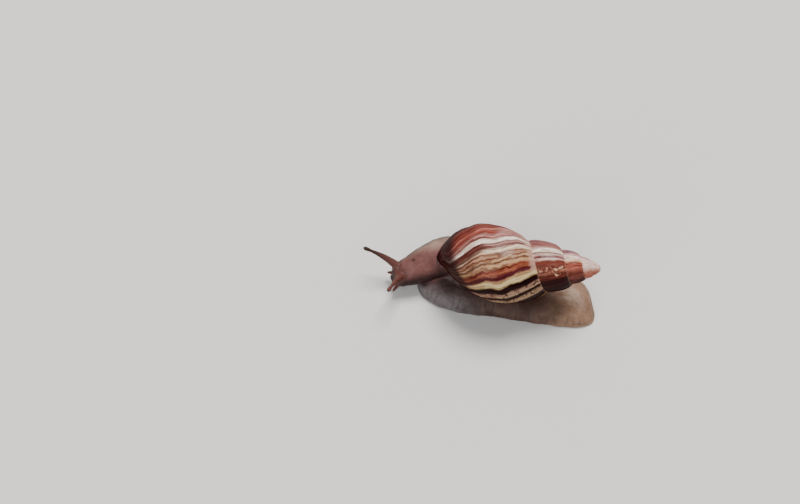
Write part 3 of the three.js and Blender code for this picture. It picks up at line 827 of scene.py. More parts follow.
def neighbour_mean(values, edges, count):
    """Mean of each point's neighbours, for an array with one row a point."""
    total = np.zeros_like(values)
    for k in range(values.shape[1]):
        total[:, k] = np.bincount(edges[:, 0], values[edges[:, 1], k], count)
        total[:, k] += np.bincount(edges[:, 1], values[edges[:, 0], k], count)
    degree = np.bincount(edges.ravel(), minlength=count)
    return total / np.maximum(degree, 1)[:, None]


skin_edges = edges_of(skin_mesh)
skin = coordinates(skin_mesh)
print("the skin has", len(skin_edges), "edges")


# %%
# Relax the skin
PUSH, PULL = 0.6, -0.35  # shares of the way to the mean, in turn


def relaxed(points, edges, rounds, amount):
    """Points moved towards their neighbours' mean by amount (0 to 1 for each point), over and
    over, each second time a little back, so that the form keeps its size."""
    for step in range(rounds):
        share = PUSH if step % 2 == 0 else PULL
        gap = neighbour_mean(points, edges, len(points)) - points
        points = points + share * amount[:, None] * gap
    return points


def nearest_on(points, line):
    """For each point, the number of the line's nearest point and the distance to it."""
    best, number = np.full(len(points), np.inf), np.zeros(len(points), int)
    for k, station in enumerate(line):
        gap = np.linalg.norm(points - station, axis=-1)
        number[gap < best] = k
        best = np.minimum(best, gap)
    return number, best


def slenderness(points):
    """1 on the upper and lower tentacles, easing to 0 from 2 to 4.5 mm off their middles."""
    lines = [*UPPER_TENTACLES.values(), *LOWER_TENTACLES.values()]
    middles = np.concatenate([curve_points(one, np.linspace(0.25, 1, 40)) for one in lines])
    return 1 - ease((nearest_on(points, middles)[1] - 2) / 2.5)


slender = slenderness(skin)
skin = relaxed(skin, skin_edges, 40, mix(1.0, 0.25, slender))
skin = relaxed(skin, skin_edges, 6, 0 * slender + 0.8)
print("share of slender skin", slender.mean().round(3))

# %% [markdown]
# ## Folds and grain of the skin
# A snail's skin is a net of soft grains with creases between them: long ones along the neck,
# upright ones on the foot's sides, small ones elsewhere. They could be sculpted with a texture
# brush. Here the skin is pushed in along the borders of random cells, and attributes remember
# where, so that the colours can follow. Furrows down the foot's sides, a few folds behind the
# head, a skirt along the sole and the groove above it are simple curves of noise, of the height or
# of the place along the neck.


# %%
# Places on the skin
def point_normals(points, faces):
    """Unit normals, as the sum of the crossed diagonals of each point's quads."""
    cross = np.cross(points[faces[:, 2]] - points[faces[:, 0]], points[faces[:, 3]] - points[faces[:, 1]])
    total = np.zeros_like(points)
    for k in range(3):
        for corner in range(4):
            total[:, k] += np.bincount(faces[:, corner], cross[:, k], len(points))
    return unit(total)


def quads_of(mesh):
    """The quads of a remeshed surface as point numbers."""
    flat = np.zeros(len(mesh.loops), np.int64)
    mesh.loops.foreach_get("vertex_index", flat)
    return flat.reshape(-1, 4)


def neck_place(points):
    """Share of the neck's path nearest to each point, and distance from it in mm. The path goes on
    in a straight line for a little beyond the nose."""
    t = np.linspace(0, 1.08, 90)
    beyond = np.maximum(t - 1, 0)[:, None] * 45
    line = curve_points(neck_path, t) + beyond * curve_end(neck_path)[1]
    number, distance = nearest_on(points, line)
    return t[number], distance


skin_quads = quads_of(skin_mesh)
normals = point_normals(skin, skin_quads)
along, off_path = neck_place(skin)
height = skin[:, 2]
# each is 1 on its part and 0 elsewhere; the sole gets no relief, so that it stays flat
neck_like = ease((-6 - skin[:, 0]) / 8) * ease((height - 4) / 4) * ease((12.5 - off_path) / 3)
neck_like = neck_like * (1 - slender)
foot_like = (1 - neck_like) * (1 - slender)
sole = ease((0.8 - height) / 0.5) * ease((-normals[:, 2] - 0.5) / 0.3)
print("skin areas: neck", neck_like.mean().round(2), "foot", foot_like.mean().round(2))


# %%
# Grain
NECK_CELL, FOOT_CELL, SMALL_CELL = (2.6, 1.15, 1.15), (1.25, 1.25, 2.2), (0.8, 0.8, 0.8)  # mm
NECK_DEPTH, FOOT_DEPTH, SMALL_DEPTH, SLENDER_DEPTH = 0.075, 0.08, 0.03, 0.04  # mm


def grain(points, stretch, seed):
    """Depth 0 inside a cell and 1 on its border, for cells of the given sizes in mm."""
    wobble = np.stack([waves(points, 5, seed + k) for k in range(3)], axis=-1) * 0.25
    return 1 - ease(cells(points / np.array(stretch) + wobble, seed) / 0.32)


way = unit(neck_path[-1] - neck_path[2])
level = unit(np.cross([0, 0, 1], way))
neck_frame = np.stack([skin @ way, skin @ level, skin @ np.cross(way, level)], axis=-1)
small_grain = grain(skin, SMALL_CELL, 13)
depth = NECK_DEPTH * grain(neck_frame, NECK_CELL, 11) * neck_like
depth = depth + FOOT_DEPTH * grain(skin, FOOT_CELL, 12) * foot_like
depth = depth + mix(SMALL_DEPTH, SLENDER_DEPTH, slender) * small_grain
print("mean depth of the grain", depth.mean().round(3), "mm")

# %%
# Furrows, folds, skirt and groove: places and widths of folds are shares of the neck
FURROW_DEPTH, FURROW_GAP, FURROW_WIDTH = 0.24, 7.5, 0.26
FOLD_AT, FOLD_WIDTH = 0.93, 0.015
FOLDS = ((0, 0.5), (0.05, 0.2), (-0.05, 0.15))  # how far before FOLD_AT, and depth in mm
PORE_PLACE, PORE_WIDTH, PORE_DEPTH = np.array([-36.4, 1.3, 16.9]), 0.8, 0.3
SKIRT_SIZE, SKIRT_HEIGHT, SKIRT_WIDTH = 0.3, 1.0, 0.9
GROOVE_SIZE, GROOVE_HEIGHT, GROOVE_SPREAD = 0.25, 2.6, 0.4

side_wall = ease((0.97 - np.abs(normals[:, 2])) / 0.3) * foot_like * ease((height - 1.2) / 1.5)
upright = waves(skin * [1, 0.25, 0.16], FURROW_GAP, 21)
depth = depth + FURROW_DEPTH * bell(upright, 0, FURROW_WIDTH) * side_wall
fold_at = FOLD_AT + 0.004 * waves(skin, 6, 31)
folds = sum(bell(along, fold_at - gap, FOLD_WIDTH) * size for gap, size in FOLDS)
pore = bell(np.linalg.norm(skin - PORE_PLACE, axis=-1), 0, PORE_WIDTH)
depth = depth + folds * neck_like + PORE_DEPTH * pore
swell = (0.18 * waves(skin, 13, 41) + 0.05 * waves(skin, 4, 42)) * (1 - slender)
skirt = SKIRT_SIZE * bell(height, SKIRT_HEIGHT, SKIRT_WIDTH) * foot_like
groove_height = GROOVE_HEIGHT + 0.15 * waves(skin, 9, 44)
groove = GROOVE_SIZE * bell(height, groove_height, GROOVE_SPREAD) * foot_like
moved = (swell + skirt - groove - depth) * (1 - sole)
skin = skin + normals * moved[:, None]
skin[:, 2] = np.maximum(skin[:, 2], 0.0)
print("deepest fold", (-moved.min()).round(2), "mm")

# %%
# The skin becomes a piece
DARKEST_DEPTH = 0.3  # mm at which a crease is darkest
low, high = (np.array(v) / MM - BOX_SHIFT for v in cad_box)
skin = np.clip(skin, low, high)
skin_mesh.vertices.foreach_set("co", ((skin + BOX_SHIFT) * MM).ravel())
skin_mesh.update()
# painted shade: a crease is darker the deeper it is, fully at DARKEST_DEPTH
hollow = np.clip(depth / DARKEST_DEPTH, 0, 1)
# painted shade: the neck is darker on its underside and where it comes down to the foot
near_foot = ease((12.5 - height) / 4) * ease((skin[:, 0] + 36) / 5)
lower = np.maximum(ease((1 - normals[:, 2]) / 0.62), near_foot)
looks = {"hollow": hollow, "slender": slender, "neck": neck_like, "lower": lower, "pore": pore}
for name, values in looks.items():
    keep(skin_mesh, name, "POINT", values)
skin_piece = show(skin_mesh)
flesh_nodes = [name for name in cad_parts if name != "shell" and not name.startswith("eye_")]
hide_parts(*flesh_nodes)
print("skin:", len(skin_mesh.vertices), "points,", len(skin_mesh.polygons) * 2, "triangles")

# %% [markdown]
# ## The eyes
# Each upper tentacle ends in a knob with a small dark eye. It could be painted on the skin, but a
# bead of its own has its own wet shine and a sharp edge, and it stays round.

# %%
# The eyes
for side, centre in eye_centres.items():
    eye_mesh = mesh_from("snail_eye_" + side, *ball(centre, EYE_RADIUS * np.ones(3), 26, 40))
    eye = show(eye_mesh)
    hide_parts("eye_" + side)
print("two eyes")


# %% [markdown]
# ## Materials
# A material is a graph of nodes that works out the colour, the roughness and the small bumps of a
# point. It can be wired by hand in the Shader Editor. Here short calls build it, so that each
# number can be read and changed. Nothing is painted on an image: ramps turn attributes, places
# and noise into colours, which are typed as they look, in 0 to 255.


# %%
# Colours
STUDIO_POWER, STUDIO_SHARE = 1.28, 0.9


def colour(red, green, blue):
    """A linear colour from one in 0 to 255: ((v + 0.055) / 1.055)^2.4, or v / 12.92 when dark. For
    the studio's bright light its power STUDIO_POWER is taken, times STUDIO_SHARE."""
    v = np.array([red, green, blue]) / 255
    linear = np.where(v > 0.04045, ((v + 0.055) / 1.055) ** 2.4, v / 12.92)
    return (*(STUDIO_SHARE * linear**STUDIO_POWER).tolist(), 1.0)


print("a middle grey becomes", np.round(colour(128, 128, 128), 3))


# %%
# Graphs of nodes, and numbers in them
class Graph:
    """The nodes of one material or world."""

    def __init__(self, owner):
        self.owner = owner
        owner.use_nodes = True
        self.tree = owner.node_tree
        self.tree.nodes.clear()

    def put(self, socket, value):
        """Links a socket or sets a plain value."""
        if isinstance(value, bpy.types.NodeSocket):
            self.tree.links.new(value, socket)
        else:
            socket.default_value = value

    def node(self, kind, inputs=(), **settings):
        """A node with settings, and inputs by name or number."""
        node = self.tree.nodes.new("ShaderNode" + kind)
        for key, value in settings.items():
            setattr(node, key, value)
        for key, value in dict(inputs).items():
            self.put(node.inputs[key], value)
        return node

    def math(self, operation, a, b=0.0, c=0.0):
        """One operation on numbers."""
        return self.node("Math", {0: a, 1: b, 2: c}, operation=operation).outputs[0]

    def times(self, a, b):
        """The product of two numbers."""
        return self.math("MULTIPLY", a, b)

    def plus(self, a, b):
        """The sum of two numbers."""
        return self.math("ADD", a, b)

    def line(self, value, slope, start):
        """A straight line: value times slope, plus start."""
        return self.math("MULTIPLY_ADD", value, slope, start)

    def attribute(self, name):
        """A mesh attribute's number."""
        return self.node("Attribute", attribute_name=name).outputs["Fac"]

    def place(self):
        """The place in metres."""
        return self.node("TexCoord").outputs["Object"]

    def parts(self, vector):
        """The three numbers of a vector."""
        return self.node("SeparateXYZ", {0: vector}).outputs

    def spread(self, a, b, along, across):
        """A place for noise from two numbers: a times along and b times across."""
        return self.node("CombineXYZ", {0: self.times(a, along), 1: self.times(b, across)}).outputs[0]

    def step(self, value, low, high):
        """A smooth step from 0 at low to 1 at high."""
        inputs = {"Value": value, "From Min": low, "From Max": high}
        return self.node("MapRange", inputs, interpolation_type="SMOOTHSTEP").outputs["Result"]

    def within(self, value, low, high, soft):
        """1 between low and high, easing to 0 over soft outside them."""
        return self.times(self.step(value, low - soft, low), self.step(value, high + soft, high))


print("kinds of calls for numbers:", len([name for name in vars(Graph) if not name.startswith("_")]))


# %%
# Noise, colours and the finished shader
class Surface(Graph):
    """A graph that makes colours and bumps."""

    def noise(self, place, scale, detail=2.0, roughness=0.5):
        """Noise of a place, about 0 to 1."""
        inputs = {"Vector": place, "Scale": scale, "Detail": detail, "Roughness": roughness}
        return self.node("TexNoise", inputs).outputs["Fac"]

    def line_noise(self, value, scale, detail=2.0, roughness=0.5):
        """Noise of one number."""
        inputs = {"W": value, "Scale": scale, "Detail": detail, "Roughness": roughness}
        return self.node("TexNoise", inputs, noise_dimensions="1D").outputs["Fac"]

    def ramp(self, value, stops):
        """Colours by a number, with straight mixing between stops of place, red, green and blue."""
        node = self.node("ValToRGB", {0: value})
        marks = node.color_ramp.elements
        for place, *shade in stops[1:-1]:
            marks.new(place).color = colour(*shade)
        for mark, (place, *shade) in ((marks[0], stops[0]), (marks[-1], stops[-1])):
            mark.position, mark.color = place, colour(*shade)
        return node.outputs["Color"]

    def mottled(self, value, dark, light, low=0.3, high=0.7):
        """Two colours, dark where value is low and light where it is high."""
        return self.ramp(value, [(low, *dark), (high, *light)])

    def blend(self, share, a, b, how="MIX"):
        """Colour a where share is 0, b where it is 1. The node's colours are its inputs 6 and 7."""
        node = self.node("Mix", data_type="RGBA", blend_type=how, clamp_factor=True)
        for number, value in ((0, share), (6, a), (7, b)):
            self.put(node.inputs[number], value)
        return node.outputs[2]

    def bump(self, height, distance, strength, under=None):
        """A normal from a height, in metres at distance."""
        inputs = {"Height": height, "Distance": distance, "Strength": strength}
        if under is not None:
            inputs["Normal"] = under
        return self.node("Bump", inputs).outputs["Normal"]

    def finish(self, **inputs):
        """The Principled shader with these inputs, linked to the output."""
        names = {key.replace("_", " "): value for key, value in inputs.items()}
        shader = self.node("BsdfPrincipled", names)
        output = self.node("OutputMaterial")
        self.tree.links.new(shader.outputs[0], output.inputs[0])
        return self.owner


print("and for surfaces:", len([name for name in vars(Surface) if not name.startswith("_")]))

# %% [markdown]
# ## The shell's material
# The mantle lays each stripe down along the lip while the shell grows, so stripes follow the
# growth lines. They could be painted on an unwrapped image of the wall. Ramps over the growth
# phase are used instead: the stripes turn with the whorls and stay sharp at any distance. On the
# side of the last whorl that the camera sees, and on the whorls above it, they are placed one by
# one, and there the whitest colours on top are partly painted highlight and the near side's darks
# partly painted shade. Elsewhere noise places them.


# %%
# Stripes: growth phase in whorls, then the colour there
# the near side's dark stripes are typed as they look, so they also hold painted shade
NEAR_STRIPES = [
    (-0.58, 52, 22, 16), (-0.512, 64, 30, 22), (-0.502, 186, 160, 132), (-0.474, 176, 146, 120),
    (-0.466, 58, 26, 14), (-0.452, 62, 30, 20), (-0.444, 190, 162, 138), (-0.423, 178, 146, 126),
    (-0.414, 54, 14, 16), (-0.389, 54, 14, 14), (-0.38, 220, 198, 152), (-0.362, 226, 204, 160),
    (-0.352, 186, 148, 116), (-0.344, 104, 54, 62), (-0.329, 112, 54, 54), (-0.319, 176, 116, 90),
    (-0.306, 130, 62, 48), (-0.298, 194, 158, 126),
]
# the whitest stripes on top are partly pale shell and partly painted highlight
TOP_STRIPES = [
    (-0.298, 194, 158, 126), (-0.286, 206, 172, 138), (-0.278, 112, 66, 52), (-0.269, 208, 176, 144),
    (-0.26, 140, 92, 74), (-0.25, 196, 162, 136), (-0.241, 136, 90, 74), (-0.232, 236, 214, 190),
    (-0.221, 232, 210, 190), (-0.212, 128, 84, 84), (-0.201, 190, 154, 146), (-0.194, 150, 106, 98),
    (-0.187, 254, 244, 230), (-0.174, 240, 222, 210), (-0.164, 152, 96, 88), (-0.152, 204, 162, 154),
    (-0.138, 144, 78, 68), (-0.124, 178, 112, 98), (-0.112, 200, 140, 126), (-0.104, 132, 60, 52),
    (-0.094, 170, 100, 86), (-0.086, 116, 50, 42), (-0.076, 158, 88, 76), (-0.068, 106, 44, 38),
    (-0.058, 172, 112, 98), (-0.052, 114, 50, 44), (-0.042, 134, 68, 60), (-0.034, 86, 36, 32),
    (-0.022, 110, 56, 52), (-0.014, 72, 30, 28), (0.0, 68, 30, 28),
]
# the white streak at -1.218 is partly pale shell and partly painted highlight
SPIRE_STRIPES = [
    (-1.68, 58, 26, 24), (-1.5, 58, 26, 24), (-1.47, 76, 36, 38), (-1.44, 64, 28, 28),
    (-1.42, 76, 36, 32), (-1.4, 126, 74, 62), (-1.385, 106, 58, 48), (-1.37, 160, 110, 94),
    (-1.355, 180, 130, 108), (-1.343, 132, 78, 64), (-1.325, 158, 106, 92), (-1.31, 136, 80, 68),
    (-1.295, 134, 78, 66), (-1.287, 150, 98, 88), (-1.281, 224, 196, 182), (-1.274, 216, 186, 172),
    (-1.268, 140, 92, 90), (-1.259, 146, 98, 98), (-1.252, 216, 192, 180), (-1.243, 208, 178, 166),
    (-1.237, 118, 68, 62), (-1.23, 222, 198, 182), (-1.218, 250, 242, 228), (-1.208, 242, 230, 216),
    (-1.196, 196, 158, 148), (-1.18, 168, 122, 116), (-1.15, 160, 112, 108), (-1.1, 164, 118, 118),
    (-1.05, 158, 112, 110),
]
# the same colours in each early whorl: the pale upper side is partly worn shell and partly painted highlight
EARLY_STRIPES = [
    (-0.69, 92, 60, 52), (-0.57, 98, 66, 58), (-0.51, 96, 60, 52), (-0.475, 112, 68, 62),
    (-0.435, 146, 92, 82), (-0.395, 128, 78, 68), (-0.36, 150, 96, 82), (-0.34, 184, 122, 106),
    (-0.325, 188, 122, 108), (-0.315, 158, 90, 78), (-0.3, 172, 110, 94), (-0.285, 154, 92, 80),
    (-0.272, 196, 150, 118), (-0.25, 240, 210, 190), (-0.215, 250, 230, 222), (-0.195, 226, 190, 186),
    (-0.175, 184, 148, 148), (-0.145, 150, 114, 120), (-0.095, 186, 142, 146), (-0.03, 160, 120, 122),
]
# The same for stripes that noise places, by the noise's value
BODY_BARS = [
    (0.0, 222, 200, 160), (0.42, 206, 176, 136), (0.475, 150, 98, 72), (0.53, 104, 54, 42),
    (0.62, 66, 30, 26), (1.0, 54, 24, 22),
]
SPIRE_BARS = [
    (0.0, 206, 176, 156), (0.4, 160, 106, 88), (0.5, 124, 70, 58), (0.62, 84, 42, 36),
    (1.0, 64, 30, 28),
]
# Patches of the last whorl: growth phase from and to, its softness, the x at which the patch is
# nothing and full, its strength, then its colour
PATCHES = [
    (-0.145, -0.1, 0.015, 0.4, 0.25, 0.6, 200, 158, 152),  # pink, near the suture
    (-0.228, -0.195, 0.008, 0.42, 0.56, 0.85, 110, 58, 48),  # brown, below the middle
]
STRIPE_TABLES = (NEAR_STRIPES, TOP_STRIPES, SPIRE_STRIPES, EARLY_STRIPES)
print("colours of placed stripes:", sum(map(len, STRIPE_TABLES)))


# %%
# Where the stripes run: p is the growth phase, x the place from suture to pole, w the growth stage
def wavering(g, p, x, flat):
    """The growth phase, shifted by broad noise and by fine noise that is stronger at the top."""
    broad = g.line(g.noise(flat, 0.9), 0.016, -0.008)
    ragged = g.line(g.within(p, -0.33, -0.26, 0.03), 0.018, 0.014)
    fine = g.noise(g.spread(p, x, 26.0, 9.0), 1.0, 2.5, 0.55)
    jagged = g.times(g.math("SUBTRACT", fine, 0.5), ragged)
    return g.plus(p, g.plus(broad, jagged))


def stripe_ramp(g, value, stripes):
    """The stripes' colours by a number that runs over their places."""
    first, last = stripes[0][0], stripes[-1][0]
    stops = [((place - first) / (last - first), *shade) for place, *shade in stripes]
    inputs = {"Value": value, "From Min": first, "From Max": last}
    return g.ramp(g.node("MapRange", inputs).outputs["Result"], stops)


def noise_stripes(g, bent, flat, w):
    """Stripes placed by noise, in darker colours on the spire."""
    bars = g.plus(g.line_noise(bent, 17.0, 1.5, 0.55), g.line(g.noise(flat, 1.6), 0.2, -0.1))
    return g.blend(g.step(w, -0.99, -1.01), g.ramp(bars, BODY_BARS), g.ramp(bars, SPIRE_BARS))


def spire_stripes(g, shade, bent, early, w):
    """The placed stripes of the early whorls, the same in each, with a pale upper side that is partly painted
    highlight, and of the whorl before the last.
    """
    on_early = g.times(g.within(early, -0.66, -0.06, 0.04), g.step(w, -1.99, -2.01))
    shade = g.blend(on_early, shade, stripe_ramp(g, early, EARLY_STRIPES))
    on_spire = g.times(g.within(bent, -1.66, -1.06, 0.03), g.within(w, -2.0, -1.0, 0.01))
    return g.blend(on_spire, shade, stripe_ramp(g, bent, SPIRE_STRIPES))


def body_stripes(g, shade, bent, x, w):
    """The placed stripes and patches of the last whorl's seen side."""
    near, top = stripe_ramp(g, bent, NEAR_STRIPES), stripe_ramp(g, bent, TOP_STRIPES)
    placed = g.blend(g.step(bent, -0.2985, -0.2975), near, top)
    for start, stop, soft, nothing, full, strength, *patch in PATCHES:
        share = g.times(g.step(x, nothing, full), g.within(bent, start, stop, soft))
        placed = g.blend(g.times(share, strength), placed, colour(*patch))
    on_body = g.times(g.step(bent, -0.6, -0.57), g.step(w, -0.9, -0.8))
    return g.blend(on_body, shade, placed)


def pale_tip(g, shade, early, w):
    """The first whorls, worn to pink, with cream on their upper side that is partly wear and partly painted
    highlight.
    """
    # the upper side of the first whorls is cream: partly wear, partly painted highlight
    tip = g.blend(g.within(early, -0.3, -0.1, 0.12), colour(190, 130, 112), colour(232, 206, 196))
    tip = g.blend(g.step(w, -5.2, -6.0), tip, colour(220, 180, 166))
    return g.blend(g.step(w, -3.0, -3.3), shade, tip)


print("longest ramp:", max(map(len, STRIPE_TABLES)), "stops, where a ramp can hold 32")

# %% [markdown]
# ### Marks over the stripes
# Brown streaks, hair lines and flecks break the stripes up, and a life outdoors has worn the wall:
# a scar and a torn pale band under the suture. Such wear could be modelled or painted. Here it is
# blended over the stripes layer by layer, the fine marks first and the mouth last, with painted
# shade on the base, which faces the floor.


# %%
# Marks over the stripes
def streaks_and_flecks(g, shade, p, bent, x):
    """Broken streaks, more of them below the middle, hair lines between them, and dark flecks."""
    streaks = g.noise(g.spread(bent, x, 85.0, 5.0), 1.0, 3.0, 0.6)
    streaks = g.plus(streaks, g.times(g.step(x, 0.42, 0.68), 0.1))
    share = g.times(g.step(streaks, 0.5, 0.63), 0.65)
    shade = g.blend(share, shade, colour(172, 132, 120), "MULTIPLY")
    hairs = g.noise(g.spread(bent, x, 230.0, 4.0), 1.0)
    share = g.times(g.step(hairs, 0.54, 0.66), 0.5)
    shade = g.blend(share, shade, colour(158, 112, 98), "MULTIPLY")
    spots = g.noise(g.spread(p, x, 34.0, 30.0), 1.0, 3.0, 0.6)
    flecks = g.times(g.step(spots, 0.55, 0.62), g.within(p, -0.53, -0.41, 0.01))
    return g.blend(g.times(flecks, 0.8), shade, colour(60, 24, 22))


def scar_beads(g, shade, at):
    """The scar: a dark ground with pale beads on it."""
    scar, lumps = g.attribute("worn"), g.noise(at, 560.0, 2.5)
    beads = g.ramp(lumps, [(0.4, 120, 70, 58), (0.52, 176, 128, 108), (0.64, 220, 184, 160)])
    covered = g.times(g.step(g.times(scar, g.plus(lumps, 0.3)), 0.4, 0.7), 0.9)
    shade = g.blend(g.times(g.step(scar, 0.05, 0.4), 0.6), shade, colour(92, 44, 38))
    return g.blend(covered, shade, beads)


def edges_of_whorls(g, shade, p, bent, x, w):
    """A torn pale band and a thin pale line along the suture, and painted shade on the base, which faces the
    floor.
    """
    torn = g.line(g.noise(g.spread(p, x, 70.0, 20.0), 1.0), -0.12, x)
    band = g.times(g.within(bent, -0.34, -0.12, 0.05), g.step(torn, 0.01, -0.025))
    shade = g.blend(g.times(band, 0.6), shade, colour(210, 176, 158))
    line = g.blend(g.step(w, -2.8, -3.0), colour(190, 156, 140), colour(128, 76, 66))
    shade = g.blend(g.times(g.step(x, 0.014, 0.004), 0.25), shade, line)
    # painted shade: the base near the pole, which faces the floor, is darkened
    base = g.plus(x, g.times(g.step(w, -0.3, -0.5), 0.1))
    return g.blend(g.times(g.step(base, 0.76, 0.86), 0.92), shade, colour(60, 22, 24))


def lines_and_mouth(g, shade, lines, w):
    """Thin grey growth lines, and a pale mouth and lip."""
    grey = g.mottled(lines, (150, 140, 136), (255, 255, 255))
    shade = g.blend(0.3, shade, grey, "MULTIPLY")
    pale = g.math("MAXIMUM", g.attribute("mouth"), g.times(g.step(w, -0.007, -0.003), 0.8))
    return g.blend(pale, shade, colour(190, 184, 188))


def wall_bumps(g, at, lines, p, x):
    """Growth lines and threads with a grain over them: bumps of 0.12 and 0.04 mm, softened."""
    growth = g.plus(g.times(lines, 0.6), g.line_noise(p, 110.0))
    threads = g.times(g.line_noise(x, 190.0, 1.0), 0.2)
    normal = g.bump(g.plus(growth, threads), 0.00012, 0.3)
    return g.bump(g.noise(at, 2600.0, 3.0), 0.00004, 0.4, normal)


# %%
# The shell's surface
def shell_material():
    """Stripes, then the marks over them, under a thin coat."""
    g = Surface(bpy.data.materials.new("shell_stripes"))
    p, x, w = g.parts(g.node("Attribute", attribute_name="growth").outputs["Vector"])
    at, flat = g.place(), g.spread(p, x, 16.0, 5.0)
    bent = wavering(g, p, x, flat)
    early = g.math("SUBTRACT", g.math("FRACT", bent), 1.0)
    lines = g.line_noise(p, 330.0, 2.0, 0.6)
    shade = noise_stripes(g, bent, flat, w)
    shade = spire_stripes(g, shade, bent, early, w)
    shade = body_stripes(g, shade, bent, x, w)
    shade = pale_tip(g, shade, early, w)
    shade = streaks_and_flecks(g, shade, p, bent, x)
    shade = scar_beads(g, shade, at)
    shade = edges_of_whorls(g, shade, p, bent, x, w)
    shade = lines_and_mouth(g, shade, lines, w)
    return g.finish(
        Base_Color=shade,
        Roughness=g.line(g.noise(at, 900.0, 3.0), 0.2, 0.24),
        Normal=wall_bumps(g, at, lines, p, x),
        Specular_IOR_Level=0.0,
        Coat_Weight=0.14,
        Coat_Roughness=0.2,
    )


shell.data.materials.append(shell_material())
print("shell material:", len(shell.data.materials[0].node_tree.nodes), "nodes")

# %% [markdown]
# ## The skin's material
# Wet skin is brown and lets a little light in. It is reddish on the neck, grey-brown on the
# foot's sides and tan on the tail. Painted shade darkens each crease, the neck's underside and
# the foot's ridge under the shell, and painted light brightens the neck's tan right side. All of
# it could be painted point by point.
# Soft steps over the place and over the attributes of the folds are used, because they have no
# seams and each can be moved by one number.


# %%
# Skin: dark and light shades of its areas
SKIN_SHADES = {
    "front": ((118, 110, 110), (150, 142, 142)),
    "foot": ((90, 68, 60), (118, 96, 86)),
    "tail": ((142, 114, 94), (182, 152, 130)),
    "neck": ((118, 78, 74), (152, 112, 108)),
    "warm": ((158, 132, 118), (194, 170, 156)),
}


def foot_colours(g, shades, x, y, z):
    """Grey in front, brown on the sides, tan behind, and darker on the ridge as painted shade under the
    shell, by place in metres.
    """
    front = g.times(g.step(x, 0.008, -0.012), g.step(y, 0.006, -0.006))
    shade = g.blend(front, shades["foot"], shades["front"])
    shade = g.blend(g.step(x, 0.026, 0.05), shade, shades["tail"])
    # painted shade: the foot's ridge is darker under the shell
    ridge = g.times(g.step(z, 0.005, 0.011), g.step(x, 0.05, 0.03))
    return g.blend(g.times(ridge, 0.8), shade, colour(86, 54, 44))


def neck_colours(g, shades, x, y):
    """Reddish, tan on the snail's right with painted light on that lit side, and painted shade below."""
    # the snail's right side: its own tan, lightened further as painted light
    right = g.step(g.plus(y, g.times(x, -0.35)), 0.013, 0.022)
    shade = g.blend(right, shades["neck"], shades["warm"])
    # painted shade on the neck's underside and where it meets the foot
    return g.blend(g.attribute("lower"), shade, colour(66, 26, 23))


def skin_material():
    """The areas' colours, then painted shade in the creases, the dark spot on the neck and specks, under a
    wet coat.
    """
    g = Surface(bpy.data.materials.new("skin_wet"))
    at = g.place()
    x, y, z = g.parts(at)
    patches = g.noise(at, 90.0, 3.0)
    shades = {name: g.mottled(patches, *pair) for name, pair in SKIN_SHADES.items()}
    shade = foot_colours(g, shades, x, y, z)
    shade = g.blend(g.attribute("neck"), shade, neck_colours(g, shades, x, y))
    feeler = g.blend(g.step(x, -0.045, -0.058), colour(116, 76, 68), colour(80, 54, 48))
    shade = g.blend(g.attribute("slender"), shade, feeler)
    # painted shade in the creases
    shade = g.blend(g.times(g.attribute("hollow"), 0.4), shade, colour(58, 38, 32))
    shade = g.blend(g.attribute("pore"), shade, colour(60, 26, 24))
    specks = g.mottled(g.noise(at, 900.0), (190, 190, 190), (255, 255, 255), 0.35, 0.65)
    return g.finish(
        Base_Color=g.blend(0.3, shade, specks, "MULTIPLY"),
        Roughness=g.line(g.noise(at, 500.0, 3.0), 0.3, 0.38),
        Normal=g.bump(g.noise(at, 1500.0, 3.0), 0.0001, 0.4),
        Subsurface_Weight=0.12,
        Subsurface_Radius=(0.003, 0.0012, 0.0007),
        Subsurface_Scale=0.6,
        Specular_IOR_Level=0.15,
        Coat_Weight=0.1,
        Coat_Roughness=0.3,
    )


skin_piece.data.materials.append(skin_material())
print("skin material:", len(skin_piece.data.materials[0].node_tree.nodes), "nodes")


# %%
# Eyes
def eye_material():
    """A dark, wet bead with faint brown patches."""
    g = Surface(bpy.data.materials.new("eye_bead"))
    at = g.place()
    shade = g.mottled(g.noise(at, 2500.0), (14, 11, 11), (34, 24, 22))
    rough = g.line(g.noise(at, 4000.0), 0.1, 0.06)
    return g.finish(Base_Color=shade, Roughness=rough, Coat_Weight=0.3, Coat_Roughness=0.1)


eye_look = eye_material()
for side in eye_centres:
    bpy.data.objects["snail_eye_" + side].data.materials.append(eye_look)
print("eye material:", len(eye_look.node_tree.nodes), "nodes")

# %% [markdown]
# ## Floor and light
# The model stands on a wide pale sheet under a bright, hazy sky. Area lamps near it would do, but
# they weaken with distance and show as shapes in a wet surface. Two broad suns light every side
# evenly, and soft shadows tell where the foot meets the floor. Towards the horizon the world turns
# about as bright as the floor, so that the floor's far edge hardly shows.

# %%
# Floor
FLOOR_HALF = 12.0  # metres, so that its edge lies far outside the view


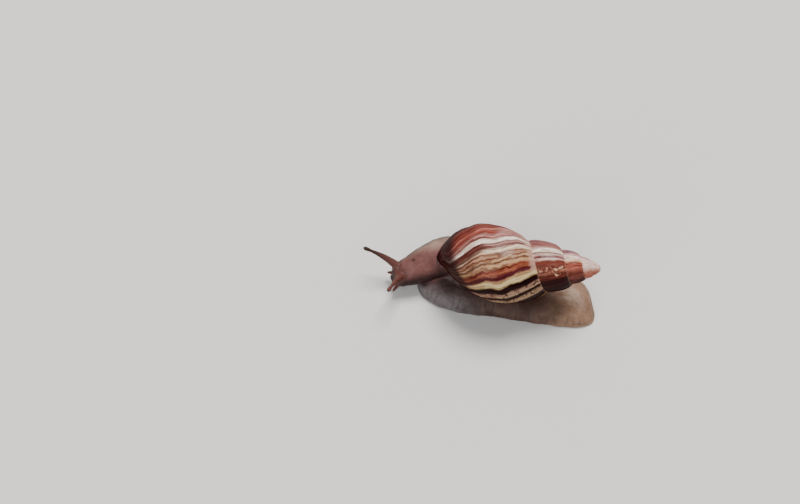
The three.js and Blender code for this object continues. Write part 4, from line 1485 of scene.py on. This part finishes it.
def floor():
    """A flat square sheet of one plain colour, which is no part of the model."""
    mesh = bpy.data.meshes.new("floor")
    corners = [(FLOOR_HALF * x, FLOOR_HALF * y, 0) for x, y in ((-1, -1), (1, -1), (1, 1), (-1, 1))]
    mesh.from_pydata(corners, [], [(0, 1, 2, 3)])
    piece = bpy.data.objects.new("floor", mesh)
    bpy.context.scene.collection.objects.link(piece)
    g = Surface(bpy.data.materials.new("floor_plain"))
    mesh.materials.append(g.finish(Base_Color=colour(222, 220, 216), Roughness=0.9))
    piece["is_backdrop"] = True


floor()
print("floor:", 2 * FLOOR_HALF, "m wide")


# %%
# Light
def lamp(name, place, power, spread, warmth):
    """A sun that shines from the direction of place, spread in degrees, power in W/m2."""
    light = bpy.data.lights.new(name, "SUN")
    light.energy = power
    light.angle = np.radians(spread)
    light.color = warmth
    holder = bpy.data.objects.new(name, light)
    bpy.context.scene.collection.objects.link(holder)
    holder.location = place
    holder.rotation_euler = (-holder.location).to_track_quat("-Z", "Y").to_euler()


def studio():
    """A world of even, cool light that turns about as bright as the floor at the horizon."""
    world = bpy.data.worlds.new("studio")
    bpy.context.scene.world = world
    g = Graph(world)
    up = g.parts(g.node("TexCoord").outputs["Generated"])["Z"]
    strength = g.line(g.step(up, 0.22, 0.0), 0.85, 0.45)
    light = g.node("Background", {"Color": (0.9, 0.93, 1.0, 1.0), "Strength": strength})
    g.tree.links.new(light.outputs[0], g.node("OutputWorld").inputs[0])


lamp("key", (0.12, 0.5, 1.05), 5.0, 26.0, (1.0, 0.985, 0.96))
lamp("fill", (-0.6, -0.9, 0.7), 1.7, 45.0, (0.97, 0.98, 1.0))
studio()
print("lamps:", len(bpy.data.lights), "and a world of", len(bpy.context.scene.world.node_tree.nodes), "nodes")

# %% [markdown]
# ## Sizes, then the end
# The difference between the box of the finished pieces and the box of the solids is printed, to show
# by how much relief and round skin outgrow them. Measuring by hand would do, but would be forgotten after a
# change.

# %%
# Print the sizes
visual_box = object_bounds()
grown = [[round((b - a) * 1000, 2) for a, b in zip(*pair)] for pair in zip(cad_box, visual_box)]
print("grown by, in mm:", grown)
